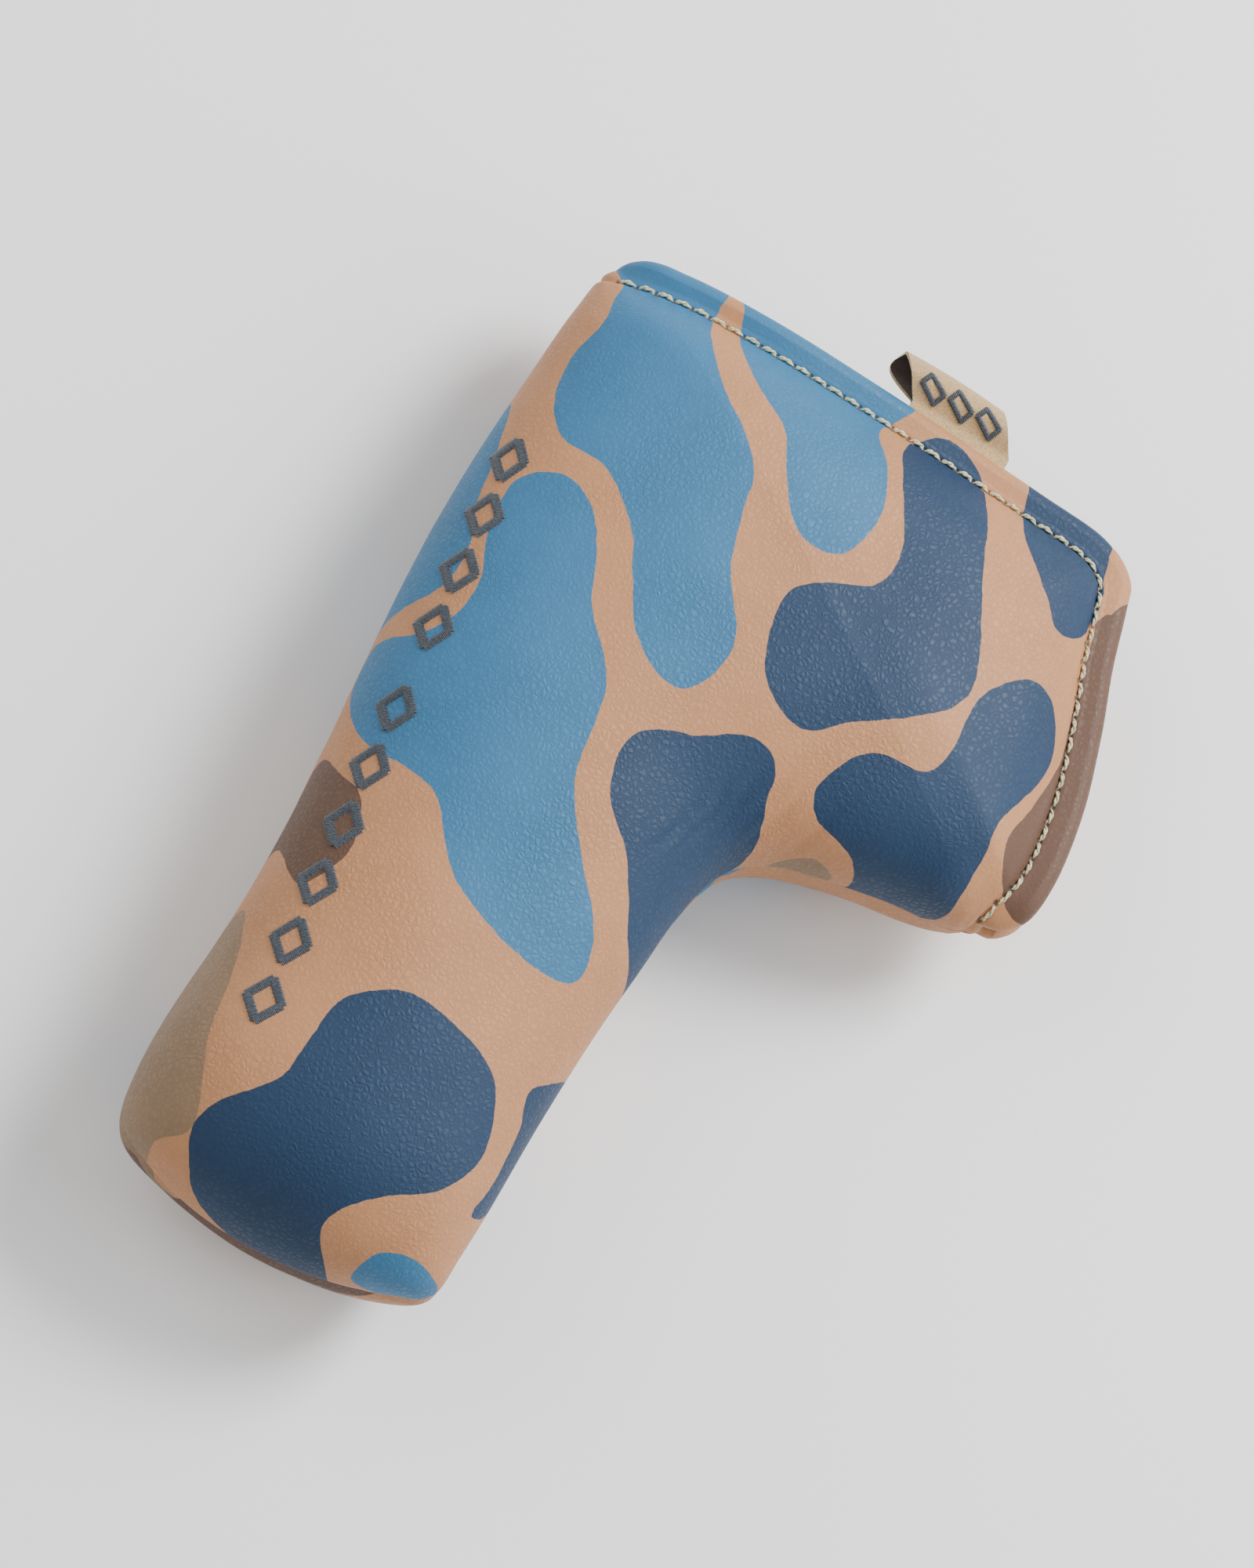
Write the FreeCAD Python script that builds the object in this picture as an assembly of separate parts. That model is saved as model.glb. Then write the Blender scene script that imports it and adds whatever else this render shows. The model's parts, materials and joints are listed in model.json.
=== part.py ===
import FreeCAD, Part
import math
import os

# Blade putter head cover: an L-shaped padded sleeve. The long arm holds the putter head, the short
# arm is the neck that the shaft comes out of. The front panel's corner over the neck lifts like a
# flap about the diagonal from the heel corner to the foot of the neck, and magnets hold it shut.
#
# Panel frame, in millimetres: the heel corner of the fold is the origin, +X runs along the mouth
# towards the neck, +Y points from the toe to the mouth, +Z comes out of the front face. The cover
# lies on its back at Z = 0. The finished pieces are moved by -ORIGIN, to the middle of their box.
ORIGIN = FreeCAD.Vector(53.89, -81.2, 0.0)

# ---- thickness of the stuffed cover ----
MID_Z = 21.0            # height of the plane in which the two panels meet
FRONT_DEPTH = 21.0      # front crown above that plane
BACK_DEPTH = 21.3       # back crown below it, trimmed flat at Z = 0
FRONT_ROUND = 2.3       # superellipse powers of the two cross sections
BACK_ROUND = 3.0
TOE_REACH = 27.0        # length over which the toe end rounds down
PANEL_GAP = 0.05        # half the seam gap between the two panels

# ---- wall layers: depth under the outer face, from and to ----
LEATHER = (0.0, 1.4)
FOAM = (1.5, 5.1)
LINING = (5.2, 7.2)
WALL = 7.2
LIP_GAP = 0.4           # half the gap between the shut lips
LIP_DEPTH = 4.8         # outer face of a lip above the meeting plane
HEM_WIDTH = 2.0         # turned leather edge, measured along a station line
HEM_CLEAR = 2.5         # where foam and lining stop short of the lip

# ---- flap hinge ----
HINGE_STATION = 11.0    # station whose line is the diagonal from heel corner to neck foot
HINGE_RISE = 8.0        # hinge axis above the meeting plane
FLAP_OPEN = 45.0        # degrees the flap lifts
CREASE_GAP = 0.2        # half the gap between flap and front panel
CREASE_MARGIN = 1.5     # spare degrees on each side of the crease

# ---- magnets ----
MAGNET_R = 6.0
MAGNET_T = 2.0
MAGNET_CLEAR = 0.1
MAGNET_FLOOR = 0.35     # foam left between a magnet and the inner face of the foam
SEAT_RUN = 2.0          # how far the seat runs on towards the lining
MAGNET_PLACES = ((60.0, -9.5), (88.0, -12.0), (97.0, -36.0))

# ---- stitching and motifs ----
THREAD_D = 0.75
STITCH_PITCH = 3.15
STITCH_LENGTH = 2.2
STITCH_INSET = 5.4      # topstitch line, in from the mouth edge
STITCH_START = 0.8      # first and last stitch, in stations past the crease
SURFACE_CLEAR = 0.06    # how far trim stands off the leather
MOTIF_COUNT = 10        # lozenges down the sole edge, in two groups
MOTIF_FIRST = 4         # lozenges in the first group
MOTIF_PITCH = 10.4
MOTIF_GAP = 4.2         # extra room between the groups
MOTIF_START = (1.3, -43.0)
MOTIF_LEAN = 0.09       # sideways run of the row for each mm down the arm
MOTIF_LONG = 4.3        # half lengths of a lozenge
MOTIF_SHORT = 3.7
MOTIF_BAR = 1.3
MOTIF_T = 0.5
ARM_STATION = 19.0      # usual distance between station lines of the arm

# ---- woven loop tab on the mouth edge ----
TAB_X = (52.5, 71.0)
TAB_REACH = 7.2         # from its hinge line to the fold of the loop
TAB_BULGE = 5.0         # front to back across the open loop
TAB_T = 0.7
TAB_ROOT_R = 0.8
TAB_ROOT_CLEAR = 0.5
TAB_Z = MID_Z + 4.6
TAB_FULL = 0.6          # share of the reach at which the loop is fullest
MARK_PITCH = 6.0        # lozenges woven on the tab
MARK_LONG = 2.2
MARK_SHORT = 1.9
MARK_BAR = 0.55
MARK_T = 0.2
MARK_STAND = 0.25

# Outline in the meeting plane. Each pair is a station line across the cover, from the sole edge or
# mouth edge on the left to the inner edge or neck end on the right, toe first, neck corner last.
STATIONS = (
    ((10.0, -170.5), (50.0, -168.5)),     # toe end
    ((1.5, -166.0), (56.5, -165.0)),
    ((-1.2, -156.0), (57.5, -157.0)),
    ((-0.8, -140.0), (57.8, -142.0)),
    ((0.0, -122.0), (58.4, -125.0)),
    ((-0.5, -103.0), (59.8, -106.0)),     # middle of the head pocket
    ((-2.2, -82.0), (61.2, -92.0)),
    ((-3.5, -62.0), (64.5, -81.5)),       # inner corner of the L
    ((-3.6, -44.0), (72.0, -76.0)),
    ((-2.6, -26.0), (83.0, -73.2)),
    ((-1.2, -10.0), (95.0, -70.8)),
    ((1.5, 0.0), (104.0, -68.8)),         # heel corner to neck foot: the flap's crease
    ((12.0, 1.7), (110.0, -64.5)),
    ((28.0, 2.0), (111.5, -56.0)),
    ((46.0, 1.9), (110.2, -43.0)),
    ((64.0, 1.6), (107.0, -30.0)),
    ((80.0, 0.9), (103.5, -19.0)),
    ((90.0, 0.4), (101.2, -10.0)),
    ((95.5, -1.2), (99.5, -4.5)),         # round neck corner
)
LAST = len(STATIONS) - 1
TOE_BOW = (3.3, 2.0, 0.8, 0.0)            # how far the first station lines bow towards the toe
CROWN = (1.0, 0.95, 0.86, 0.745, 0.62, 0.495, 0.375, 0.26)   # crown past the hinge, station by station
MOUTH_BOW = (0.0, 2.6, 4.0, 3.0, 1.4, 0.6, 0.2, 0.0)         # front lip lifted along the mouth edge
END_BOW = (0.0, 1.6, 2.4, 1.8, 0.9, 0.4, 0.1, 0.0)           # and along the neck end

TOE_ROWS = (0.0, 0.04, 0.15, 0.35, 0.65, 1.05, 1.5, 2.0, 2.5, 3.0)
ARM_ROWS = (3.5, 4.0, 4.6, 5.2, 5.8, 6.4, 7.0, 7.6, 8.2, 8.8, 9.4, 10.0, 10.5)
NECK_ROWS = (11.2, 11.4, 11.6, 11.8, 12.0, 12.3, 12.7, 13.2, 13.8, 14.5, 15.2, 15.9, 16.6, 17.2)
CORNER_ROWS = (17.7, 18.0)
COLUMNS = 21
DEGREE = 3


def blend_points(a, b, c, d, t):
    """Catmull-Rom value at t between b and c."""
    square = 2 * a - 5 * b + 4 * c - d
    cube = 3 * b - a - 3 * c + d
    return b + 0.5 * ((c - a) * t + square * t ** 2 + cube * t ** 3)


def along(values, u):
    """Smooth value at u, counted in list places, of a list of numbers."""
    top = len(values) - 1
    u = min(max(u, 0.0), float(top))
    i = min(int(u), top - 1)
    a = values[i - 1] if i > 0 else 2 * values[0] - values[1]
    d = values[i + 2] if i + 2 <= top else 2 * values[top] - values[top - 1]
    return blend_points(a, values[i], values[i + 1], d, u - i)


LEFT_X = [pair[0][0] for pair in STATIONS]
LEFT_Y = [pair[0][1] for pair in STATIONS]
RIGHT_X = [pair[1][0] for pair in STATIONS]
RIGHT_Y = [pair[1][1] for pair in STATIONS]


def station_line(u):
    """Left end and right end of the station line at u."""
    return (along(LEFT_X, u), along(LEFT_Y, u)), (along(RIGHT_X, u), along(RIGHT_Y, u))


def smooth(t):
    t = min(max(t, 0.0), 1.0)
    return t * t * (3 - 2 * t)


def lip_share(u):
    """0 where the edges are closed folds, 1 where they are the open lips of the mouth."""
    return smooth((u - HINGE_STATION + 0.1) / 1.3)


def toe_round(u):
    """Height factor that closes the toe end."""
    left, right = station_line(u)
    first_left, first_right = STATIONS[0]
    reach = (left[1] + right[1] - first_left[1] - first_right[1]) / 2
    t = min(max(reach / TOE_REACH, 0.0), 1.0)
    return (1 - (1 - t) ** FRONT_ROUND) ** (1 / FRONT_ROUND)


def wall_point(u, x, depth, face, inset=0.0):
    """Point of the wall at a depth under its outer face.

    u is the station, x runs from -1 at the left edge to 1 at the right edge, and face is 1 for the
    front panel and -1 for the back panel. inset draws the lips in along the station line.
    """
    left, right = station_line(u)
    half = math.hypot(right[0] - left[0], right[1] - left[1]) / 2
    lip = lip_share(u)
    scale = (half - depth * (1 - lip) - inset * lip) / half
    px = (left[0] + right[0]) / 2 + (right[0] - left[0]) / 2 * x * scale
    py = (left[1] + right[1]) / 2 + (right[1] - left[1]) / 2 * x * scale
    if u < 3:
        py += depth * (1 - smooth(u / 3)) - along(TOE_BOW, u) * (1 - x * x)

    past = u - HINGE_STATION
    share = along(CROWN, past) if past > 0 else 1.0
    power = FRONT_ROUND if face > 0 else BACK_ROUND
    crown = (FRONT_DEPTH if face > 0 else BACK_DEPTH) * share * toe_round(u)
    side = 1 - abs(x) ** power
    fold_shape = side ** (1 / power)
    lip_shape = side ** (1 / power + (0.85 - 1 / power) * smooth(past / 3))
    bow = 0.0
    if face > 0 and past > 0:
        bow = along(MOUTH_BOW if x < 0 else END_BOW, past) * abs(x) ** 3
    lip_height = LIP_DEPTH + bow
    outer = lip * lip_height + (crown - lip * lip_height) * lip_shape
    room = outer - bow * (1 - lip_shape) - LIP_GAP
    squeeze = min(max(room / WALL, 0.05), 1.0)
    fold_z = (crown - depth * toe_round(u)) * fold_shape
    height = (1 - lip) * fold_z + lip * (outer - depth * squeeze)
    return FreeCAD.Vector(px, py, MID_Z + face * (PANEL_GAP + max(height, 0.0)))


def columns():
    """Places across a station line, close together at the edges where the wall turns down."""
    return [-math.cos(math.pi * j / (COLUMNS - 1)) for j in range(COLUMNS)]


def clamped_knots(count):
    """Knots and multiplicities of a cubic spline with this many poles that reaches its end poles."""
    knots = [float(k) for k in range(count - DEGREE + 1)]
    mults = [DEGREE + 1] + [1] * (len(knots) - 2) + [DEGREE + 1]
    return knots, mults


def surface(rows, depth, face, inset):
    """Smooth sheet whose poles are wall points, so that it never swings past them."""
    poles = [[wall_point(u, x, depth, face, inset) for x in columns()] for u in rows]
    knots_u, mults_u = clamped_knots(len(poles))
    knots_v, mults_v = clamped_knots(len(poles[0]))
    sheet = Part.BSplineSurface()
    sheet.buildFromPolesMultsKnots(poles, mults_u, mults_v, knots_u, knots_v, False, False, DEGREE, DEGREE)
    return sheet


def rail(rows, x, depth, face, inset):
    """Edge of such a sheet, as a curve."""
    poles = [wall_point(u, x, depth, face, inset) for u in rows]
    knots, mults = clamped_knots(len(poles))
    curve = Part.BSplineCurve()
    curve.buildFromPolesMultsKnots(poles, mults, knots, False, DEGREE)
    return curve.toShape()


def close_between(outer, inner):
    """Solid between two sheets that run over the same stations."""
    u0, u1, v0, v1 = outer.bounds()
    a0, a1, b0, b1 = inner.bounds()
    faces = [outer.toShape(), inner.toShape()]
    for mine, other in ((outer.uIso(u0), inner.uIso(a0)), (outer.uIso(u1), inner.uIso(a1)),
                        (outer.vIso(v0), inner.vIso(b0)), (outer.vIso(v1), inner.vIso(b1))):
        faces.append(Part.makeRuledSurface(mine.toShape(), other.toShape()))
    return sewn_solid(faces)


def sewn_solid(faces):
    shell = Part.makeShell(faces)
    shell.sewShape()
    solid = Part.makeSolid(Part.Shell(shell.Faces))
    if solid.Volume < 0:
        solid.reverse()
    return solid


def layer(rows, depths, face, inset=0.0):
    """One layer of a panel's wall."""
    return close_between(surface(rows, depths[0], face, inset), surface(rows, depths[1], face, inset))


def hem_strip(rows, face):
    """Turned leather edge that caps foam and lining, one stretch along each side of the mouth."""
    stretches = []
    for x in (-1.0, 1.0):
        places = ((FOAM[0], 0.0), (WALL, 0.0), (WALL, HEM_WIDTH), (FOAM[0], HEM_WIDTH))
        rails = [rail(rows, x, depth, face, inset) for depth, inset in places]
        faces = [Part.makeRuledSurface(rails[i], rails[(i + 1) % 4]) for i in range(4)]
        for end in (0, -1):
            corners = [rail.Vertexes[end].Point for rail in rails]
            faces.append(Part.makeRuledSurface(Part.makeLine(corners[0], corners[1]),
                                               Part.makeLine(corners[3], corners[2])))
        stretches.append(sewn_solid(faces))
    return Part.makeCompound(stretches)


def hinge_frame():
    """Middle of the crease in the meeting plane, the way along it, and the way across to the flap."""
    left, right = station_line(HINGE_STATION)
    middle = FreeCAD.Vector((left[0] + right[0]) / 2, (left[1] + right[1]) / 2, MID_Z)
    axis = FreeCAD.Vector(right[0] - left[0], right[1] - left[1], 0).normalize()
    across = FreeCAD.Vector(0, 0, 1).cross(axis)
    return middle, axis, across


def crease_cutter(side):
    """Block on the far side of the crease: side 1 trims the flap, side -1 trims the front panel."""
    middle, axis, across = hinge_frame()
    lean = math.tan(math.radians(FLAP_OPEN / 2 + CREASE_MARGIN))
    reach = 100.0
    tall = 40.0
    profile = ((CREASE_GAP, -tall), (CREASE_GAP, HINGE_RISE), (CREASE_GAP + lean * tall, HINGE_RISE + tall),
               (-reach, HINGE_RISE + tall), (-reach, -tall))
    start = middle - axis * reach
    points = [start + across * (side * s) + FreeCAD.Vector(0, 0, z) for s, z in profile]
    return Part.Face(Part.makePolygon(points + points[:1])).extrude(axis * 2 * reach)


def find_station(px, py):
    """Station and place across it of a point of the neck, by halving."""
    low = 9.0
    high = float(LAST)
    for _ in range(40):
        u = (low + high) / 2
        left, right = station_line(u)
        turn = (right[0] - left[0]) * (py - left[1]) - (right[1] - left[1]) * (px - left[0])
        low, high = (u, high) if turn > 0 else (low, u)
    span = (right[0] - left[0]) ** 2 + (right[1] - left[1]) ** 2
    share = ((px - left[0]) * (right[0] - left[0]) + (py - left[1]) * (right[1] - left[1])) / span
    return u, 2 * share - 1


def wall_frame(u, x, depth, face):
    """Point of the wall and its outward normal there."""
    step = 0.02
    at = wall_point(u, x, depth, face)
    du = wall_point(min(u + step, LAST), x, depth, face) - wall_point(u - step, x, depth, face)
    dx = wall_point(u, min(x + step, 1.0), depth, face) - wall_point(u, max(x - step, -1.0), depth, face)
    normal = dx.cross(du).normalize()
    if normal.z * face < 0:
        normal = normal * -1
    return at, normal


def magnet_and_seat(place, face):
    """A magnet disc in the foam, and the seat it leaves, open towards the lining."""
    u, x = find_station(*place)
    at, normal = wall_frame(u, x, FOAM[1], face)
    foot = at + normal * MAGNET_FLOOR
    disc = Part.makeCylinder(MAGNET_R, MAGNET_T, foot, normal)
    deep = MAGNET_T + MAGNET_CLEAR + SEAT_RUN
    seat = Part.makeCylinder(MAGNET_R + MAGNET_CLEAR, deep, foot - normal * SEAT_RUN, normal)
    return disc, seat


def mouth_line():
    """Closely spaced places along the topstitch, from the heel corner round to the neck foot."""
    steps = 60
    first = HINGE_STATION + STITCH_START
    stations = [first + (LAST - first) * i / steps for i in range(steps + 1)]
    edge = [station_line(u)[0] for u in stations]
    edge += [station_line(u)[1] for u in reversed(stations)]
    line = []
    for i in range(1, len(edge) - 1):
        tx = edge[i + 1][0] - edge[i - 1][0]
        ty = edge[i + 1][1] - edge[i - 1][1]
        size = math.hypot(tx, ty)
        line.append((edge[i][0] + ty / size * STITCH_INSET, edge[i][1] - tx / size * STITCH_INSET))
    kept = [line[0]]
    for point in line[1:]:
        clear = min(math.hypot(point[0] - e[0], point[1] - e[1]) for e in edge)
        if clear > STITCH_INSET * 0.97:      # leaves out the loop the line makes inside the corner
            kept.append(point)
    return kept


def topstitch(face):
    """Row of separate stitches lying on the leather along the mouth."""
    line = mouth_line()
    stitches = []
    run = 0.0
    due = STITCH_PITCH
    for a, b in zip(line, line[1:]):
        length = math.hypot(b[0] - a[0], b[1] - a[1])
        while due <= run + length and length > 0:
            t = (due - run) / length
            px = a[0] + (b[0] - a[0]) * t
            py = a[1] + (b[1] - a[1]) * t
            stitches.append(stitch(px, py, (b[0] - a[0]) / length, (b[1] - a[1]) / length, face))
            due += STITCH_PITCH
        run += length
    return Part.makeCompound(stitches)


def stitch(px, py, tx, ty, face):
    """One stitch: a round thread with its line along (tx, ty), lying on the leather."""
    u, x = find_station(px, py)
    at, normal = wall_frame(u, x, 0.0, face)
    way = FreeCAD.Vector(tx, ty, 0)
    way = (way - normal * way.dot(normal)).normalize()
    start = at + normal * (THREAD_D / 2 + SURFACE_CLEAR) - way * (STITCH_LENGTH / 2)
    return Part.makeCylinder(THREAD_D / 2, STITCH_LENGTH, start, way)


def lozenge(center, long_way, short_way, normal, size_long, size_short, bar, thick):
    """Lozenge outline of flat bars."""
    def ring(grow):
        corners = [center + long_way * (size_long + grow), center + short_way * (size_short + grow),
                   center - long_way * (size_long + grow), center - short_way * (size_short + grow)]
        return Part.makePolygon(corners + corners[:1])

    frame = Part.Face(ring(0.0)).extrude(normal * thick)
    return frame.cut(Part.Face(ring(-bar * 1.4)).extrude(normal * thick))


def sole_motif():
    """Embroidered row of lozenges along the sole edge of the front panel."""
    chain = []
    for i in range(MOTIF_COUNT):
        run = MOTIF_PITCH * i + (MOTIF_GAP if i >= MOTIF_FIRST else 0)
        px = MOTIF_START[0] + MOTIF_LEAN * run
        py = MOTIF_START[1] - run
        u = 5.0
        for _ in range(30):
            left, right = station_line(u)
            share = (px - left[0]) / (right[0] - left[0])
            line_y = left[1] + (right[1] - left[1]) * share
            u += (py - line_y) / ARM_STATION
        at, normal = wall_frame(u, 2 * share - 1, 0.0, 1)
        long_way = FreeCAD.Vector(-MOTIF_LEAN, 1, 0)
        long_way = (long_way - normal * long_way.dot(normal)).normalize()
        short_way = normal.cross(long_way)
        seat = at + normal * SURFACE_CLEAR
        chain.append(lozenge(seat, long_way, short_way, normal, MOTIF_LONG, MOTIF_SHORT, MOTIF_BAR, MOTIF_T))
    return Part.makeCompound(chain)


def mouth_edge_y(px):
    """Y of the mouth edge at px."""
    low = HINGE_STATION
    high = float(LAST)
    for _ in range(40):
        u = (low + high) / 2
        low, high = (u, high) if along(LEFT_X, u) < px else (low, u)
    return along(LEFT_Y, u)


def tab_frame():
    """Middle of the tab's bending line, just off the lip, the way along it, and the way out."""
    ends = [FreeCAD.Vector(px, mouth_edge_y(px) + TAB_ROOT_R + TAB_ROOT_CLEAR, TAB_Z) for px in TAB_X]
    way = (ends[1] - ends[0]).normalize()
    return (ends[0] + ends[1]) * 0.5, way, FreeCAD.Vector(0, 0, 1).cross(way)


def tab_slice(corner, way, out, profile, width):
    """Solid that a smooth closed profile, given as (outwards, upwards) places, leaves along the tab."""
    curve = Part.BSplineCurve()
    points = [corner + out * p + FreeCAD.Vector(0, 0, q) for p, q in profile]
    curve.interpolate(Points=points, PeriodicFlag=True)
    return Part.Face(Part.Wire([curve.toShape()])).extrude(way * width)


def tab_loop():
    """Ribbon folded into a drop-shaped loop, its closed end round about the bending line."""
    pivot, way, out = tab_frame()
    half = (TAB_X[1] - TAB_X[0]) / 2
    full = TAB_REACH * TAB_FULL
    outside = ((-TAB_ROOT_R, 0.0), (0.0, TAB_ROOT_R), (full, TAB_BULGE / 2), (TAB_REACH, 0.0),
               (full, -TAB_BULGE / 2), (0.0, -TAB_ROOT_R))
    hollow = ((TAB_ROOT_R + 1.2, 0.0), (full, TAB_BULGE / 2 - TAB_T), (TAB_REACH - TAB_T, 0.0),
              (full, TAB_T - TAB_BULGE / 2))
    loop = tab_slice(pivot - way * half, way, out, outside, 2 * half)
    return loop.cut(tab_slice(pivot - way * (half + 1), way, out, hollow, 2 * half + 2))


def tab_motif():
    """Three small lozenges woven on the front of the tab."""
    pivot, way, out = tab_frame()
    up = FreeCAD.Vector(0, 0, 1)
    middle = pivot + out * (TAB_REACH * TAB_FULL) + up * (TAB_BULGE / 2 + MARK_STAND)
    marks = []
    for i in (-1, 0, 1):
        seat = middle + way * (MARK_PITCH * i)
        marks.append(lozenge(seat, way, out, up, MARK_LONG, MARK_SHORT, MARK_BAR, MARK_T))
    return Part.makeCompound(marks)


def export(name, shape):
    placed = shape.copy()
    placed.translate(ORIGIN * -1)
    placed.exportStep("parts/" + name + ".step")
    box = placed.BoundBox
    volume = round(placed.Volume / 1000, 3)
    print(name, "solids", len(placed.Solids), "valid", placed.isValid(), "cm3", volume, box)
    return box


def main():
    os.makedirs("parts", exist_ok=True)
    front_rows = TOE_ROWS + ARM_ROWS + (HINGE_STATION,)
    flap_rows = (HINGE_STATION + 0.02,) + NECK_ROWS
    back_rows = front_rows + NECK_ROWS
    full = {1: flap_rows + CORNER_ROWS, -1: back_rows + CORNER_ROWS}
    short = {1: flap_rows + (17.5,), -1: back_rows + (17.5,)}
    floor = Part.makeBox(400, 400, 20, FreeCAD.Vector(-200, -300, -20))
    pieces = {}

    pieces["back_leather"] = layer(full[-1], LEATHER, -1).cut(floor)
    pieces["back_foam"] = layer(short[-1], FOAM, -1, HEM_CLEAR)
    pieces["back_lining"] = layer(short[-1], LINING, -1, HEM_CLEAR)
    pieces["back_hem"] = hem_strip(full[1], -1)

    root_side = crease_cutter(-1)
    flap_side = crease_cutter(1)
    for name, depths in (("leather", LEATHER), ("foam", FOAM), ("lining", LINING)):
        pieces["front_" + name] = layer(front_rows, depths, 1).cut(root_side)
    pieces["flap_leather"] = layer(full[1], LEATHER, 1).cut(flap_side)
    pieces["flap_foam"] = layer(short[1], FOAM, 1, HEM_CLEAR).cut(flap_side)
    pieces["flap_lining"] = layer(short[1], LINING, 1, HEM_CLEAR).cut(flap_side)
    pieces["flap_hem"] = hem_strip(full[1], 1).cut(flap_side)

    for face, side in ((1, "flap"), (-1, "back")):
        for number, place in enumerate(MAGNET_PLACES, 1):
            disc, seat = magnet_and_seat(place, face)
            pieces[side + "_foam"] = pieces[side + "_foam"].cut(seat)
            pieces["%s_magnet_%d" % (side, number)] = disc
        pieces[side + "_topstitch"] = topstitch(face)

    pieces["sole_motif"] = sole_motif()
    pieces["tab_loop"] = tab_loop()
    pieces["tab_motif"] = tab_motif()

    whole = FreeCAD.BoundBox()
    for name, shape in pieces.items():
        whole.add(export(name, shape))
    print("whole", whole)
    middle, axis, across = hinge_frame()
    print("hinge", (middle - ORIGIN + FreeCAD.Vector(0, 0, HINGE_RISE)), axis)
    print("tab", tab_frame()[0] - ORIGIN, tab_frame()[1])


main()
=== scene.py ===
import json
import math
import bpy
import numpy as np
from mathutils import Matrix, Vector
from mathutils.bvhtree import BVHTree
from mathutils.kdtree import KDTree


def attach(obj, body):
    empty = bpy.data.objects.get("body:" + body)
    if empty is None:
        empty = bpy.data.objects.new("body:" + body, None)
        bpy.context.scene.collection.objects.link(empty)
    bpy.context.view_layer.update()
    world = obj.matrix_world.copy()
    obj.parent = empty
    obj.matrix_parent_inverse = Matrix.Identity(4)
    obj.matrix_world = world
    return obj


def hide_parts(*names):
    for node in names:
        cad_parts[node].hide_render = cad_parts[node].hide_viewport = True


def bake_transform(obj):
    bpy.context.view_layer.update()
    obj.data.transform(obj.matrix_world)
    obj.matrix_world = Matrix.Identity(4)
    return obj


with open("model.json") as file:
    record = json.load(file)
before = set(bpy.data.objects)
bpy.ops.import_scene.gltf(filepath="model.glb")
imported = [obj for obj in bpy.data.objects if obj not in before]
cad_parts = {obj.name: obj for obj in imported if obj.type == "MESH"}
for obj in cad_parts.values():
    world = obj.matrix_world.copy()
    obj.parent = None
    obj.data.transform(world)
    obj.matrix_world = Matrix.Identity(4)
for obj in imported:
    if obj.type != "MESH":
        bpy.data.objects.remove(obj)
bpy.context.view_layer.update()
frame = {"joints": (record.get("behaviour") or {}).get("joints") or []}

MM = 0.001

# ---------------------------------------------------------------- driving dimensions, in millimetres
# Panel frame: heel corner of the fold at (0, 0), +X along the mouth, +Y from toe to mouth, Z up.
MID_Z = 21.0
FRONT_DEPTH = 21.0
BACK_DEPTH = 21.3
FRONT_ROUND = 2.3
BACK_ROUND = 3.0
TOE_REACH = 27.0
HINGE_STATION = 11.0
LIP_GAP = 0.4
ROLL_R = 2.3              # rounded edge of the hem
HEM = 5.4                 # topstitch line in from the mouth edge
LEATHER_AND_FOAM = 5.9
LINING = (6.1, 7.3)       # lining's two faces, under the outer face
LINING_INSET = 7.5        # where the lining stops short of the mouth edge
STITCH_PITCH = 3.15
STITCH_LENGTH = 2.75
FOLD_CLEAR = 0.8          # no topstitch nearer than this to a fold
PLY_R = 0.23              # one ply of the topstitch thread
FLOSS_R = 0.15            # one satin thread of the embroidery
MAGNET_PLACES = ((60.0, -9.5), (87.0, -13.0), (96.0, -36.0))
MAGNET_R = 6.0
MAGNET_T = 2.0
MAGNET_DEPTH = 3.4        # middle of a magnet under the outer face, inside the foam
MOTIF_COUNT = 10
MOTIF_FIRST = 4           # lozenges in the first group
MOTIF_PITCH = 10.4
MOTIF_GAP = 4.2           # extra room between the two groups
MOTIF_START = (1.3, -43.0)
MOTIF_LEAN = 0.09         # sideways run of the row for each mm down the arm
MOTIF_HALF = (3.7, 3.1)   # half length and half width of a lozenge, bar middle to bar middle
MOTIF_BAR = 1.6
TAB_X = (52.5, 71.0)
TAB_REACH = 6.8
TAB_BULGE = 4.6
TAB_T = 0.55

FOLD_WAYS = ((0.2, 0.98), (0.97, 0.24))      # the two folds' directions where they reach the mouth
PUFF = 12.0               # distance past the topstitch over which the padding fills out
CURL = 7.0                # width over which the rim curls round a fold

STATIONS = np.array((
    ((10.0, -170.5), (50.0, -168.5)),     # toe end
    ((1.5, -166.0), (56.5, -165.0)),
    ((-1.2, -156.0), (57.5, -157.0)),
    ((-0.8, -140.0), (57.8, -142.0)),
    ((0.0, -122.0), (58.4, -125.0)),
    ((-0.5, -103.0), (59.8, -106.0)),     # middle of the head pocket
    ((-2.2, -82.0), (61.2, -92.0)),
    ((-3.5, -62.0), (64.5, -81.5)),       # inner corner of the L
    ((-3.6, -44.0), (72.0, -76.0)),
    ((-2.6, -26.0), (83.0, -73.2)),
    ((-1.2, -10.0), (95.0, -70.8)),
    ((1.5, 0.0), (104.0, -68.8)),         # the flap's crease
    ((12.0, 1.7), (110.0, -64.5)),
    ((28.0, 2.0), (111.5, -56.0)),
    ((46.0, 1.9), (110.2, -43.0)),
    ((64.0, 1.6), (107.0, -30.0)),
    ((80.0, 0.9), (103.5, -19.0)),
    ((90.0, 0.4), (101.2, -10.0)),
    ((95.5, -1.2), (99.5, -4.5)),         # round neck corner
))
LAST = len(STATIONS) - 1
TOE_BOW = (3.3, 2.0, 0.8, 0.0)
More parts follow.
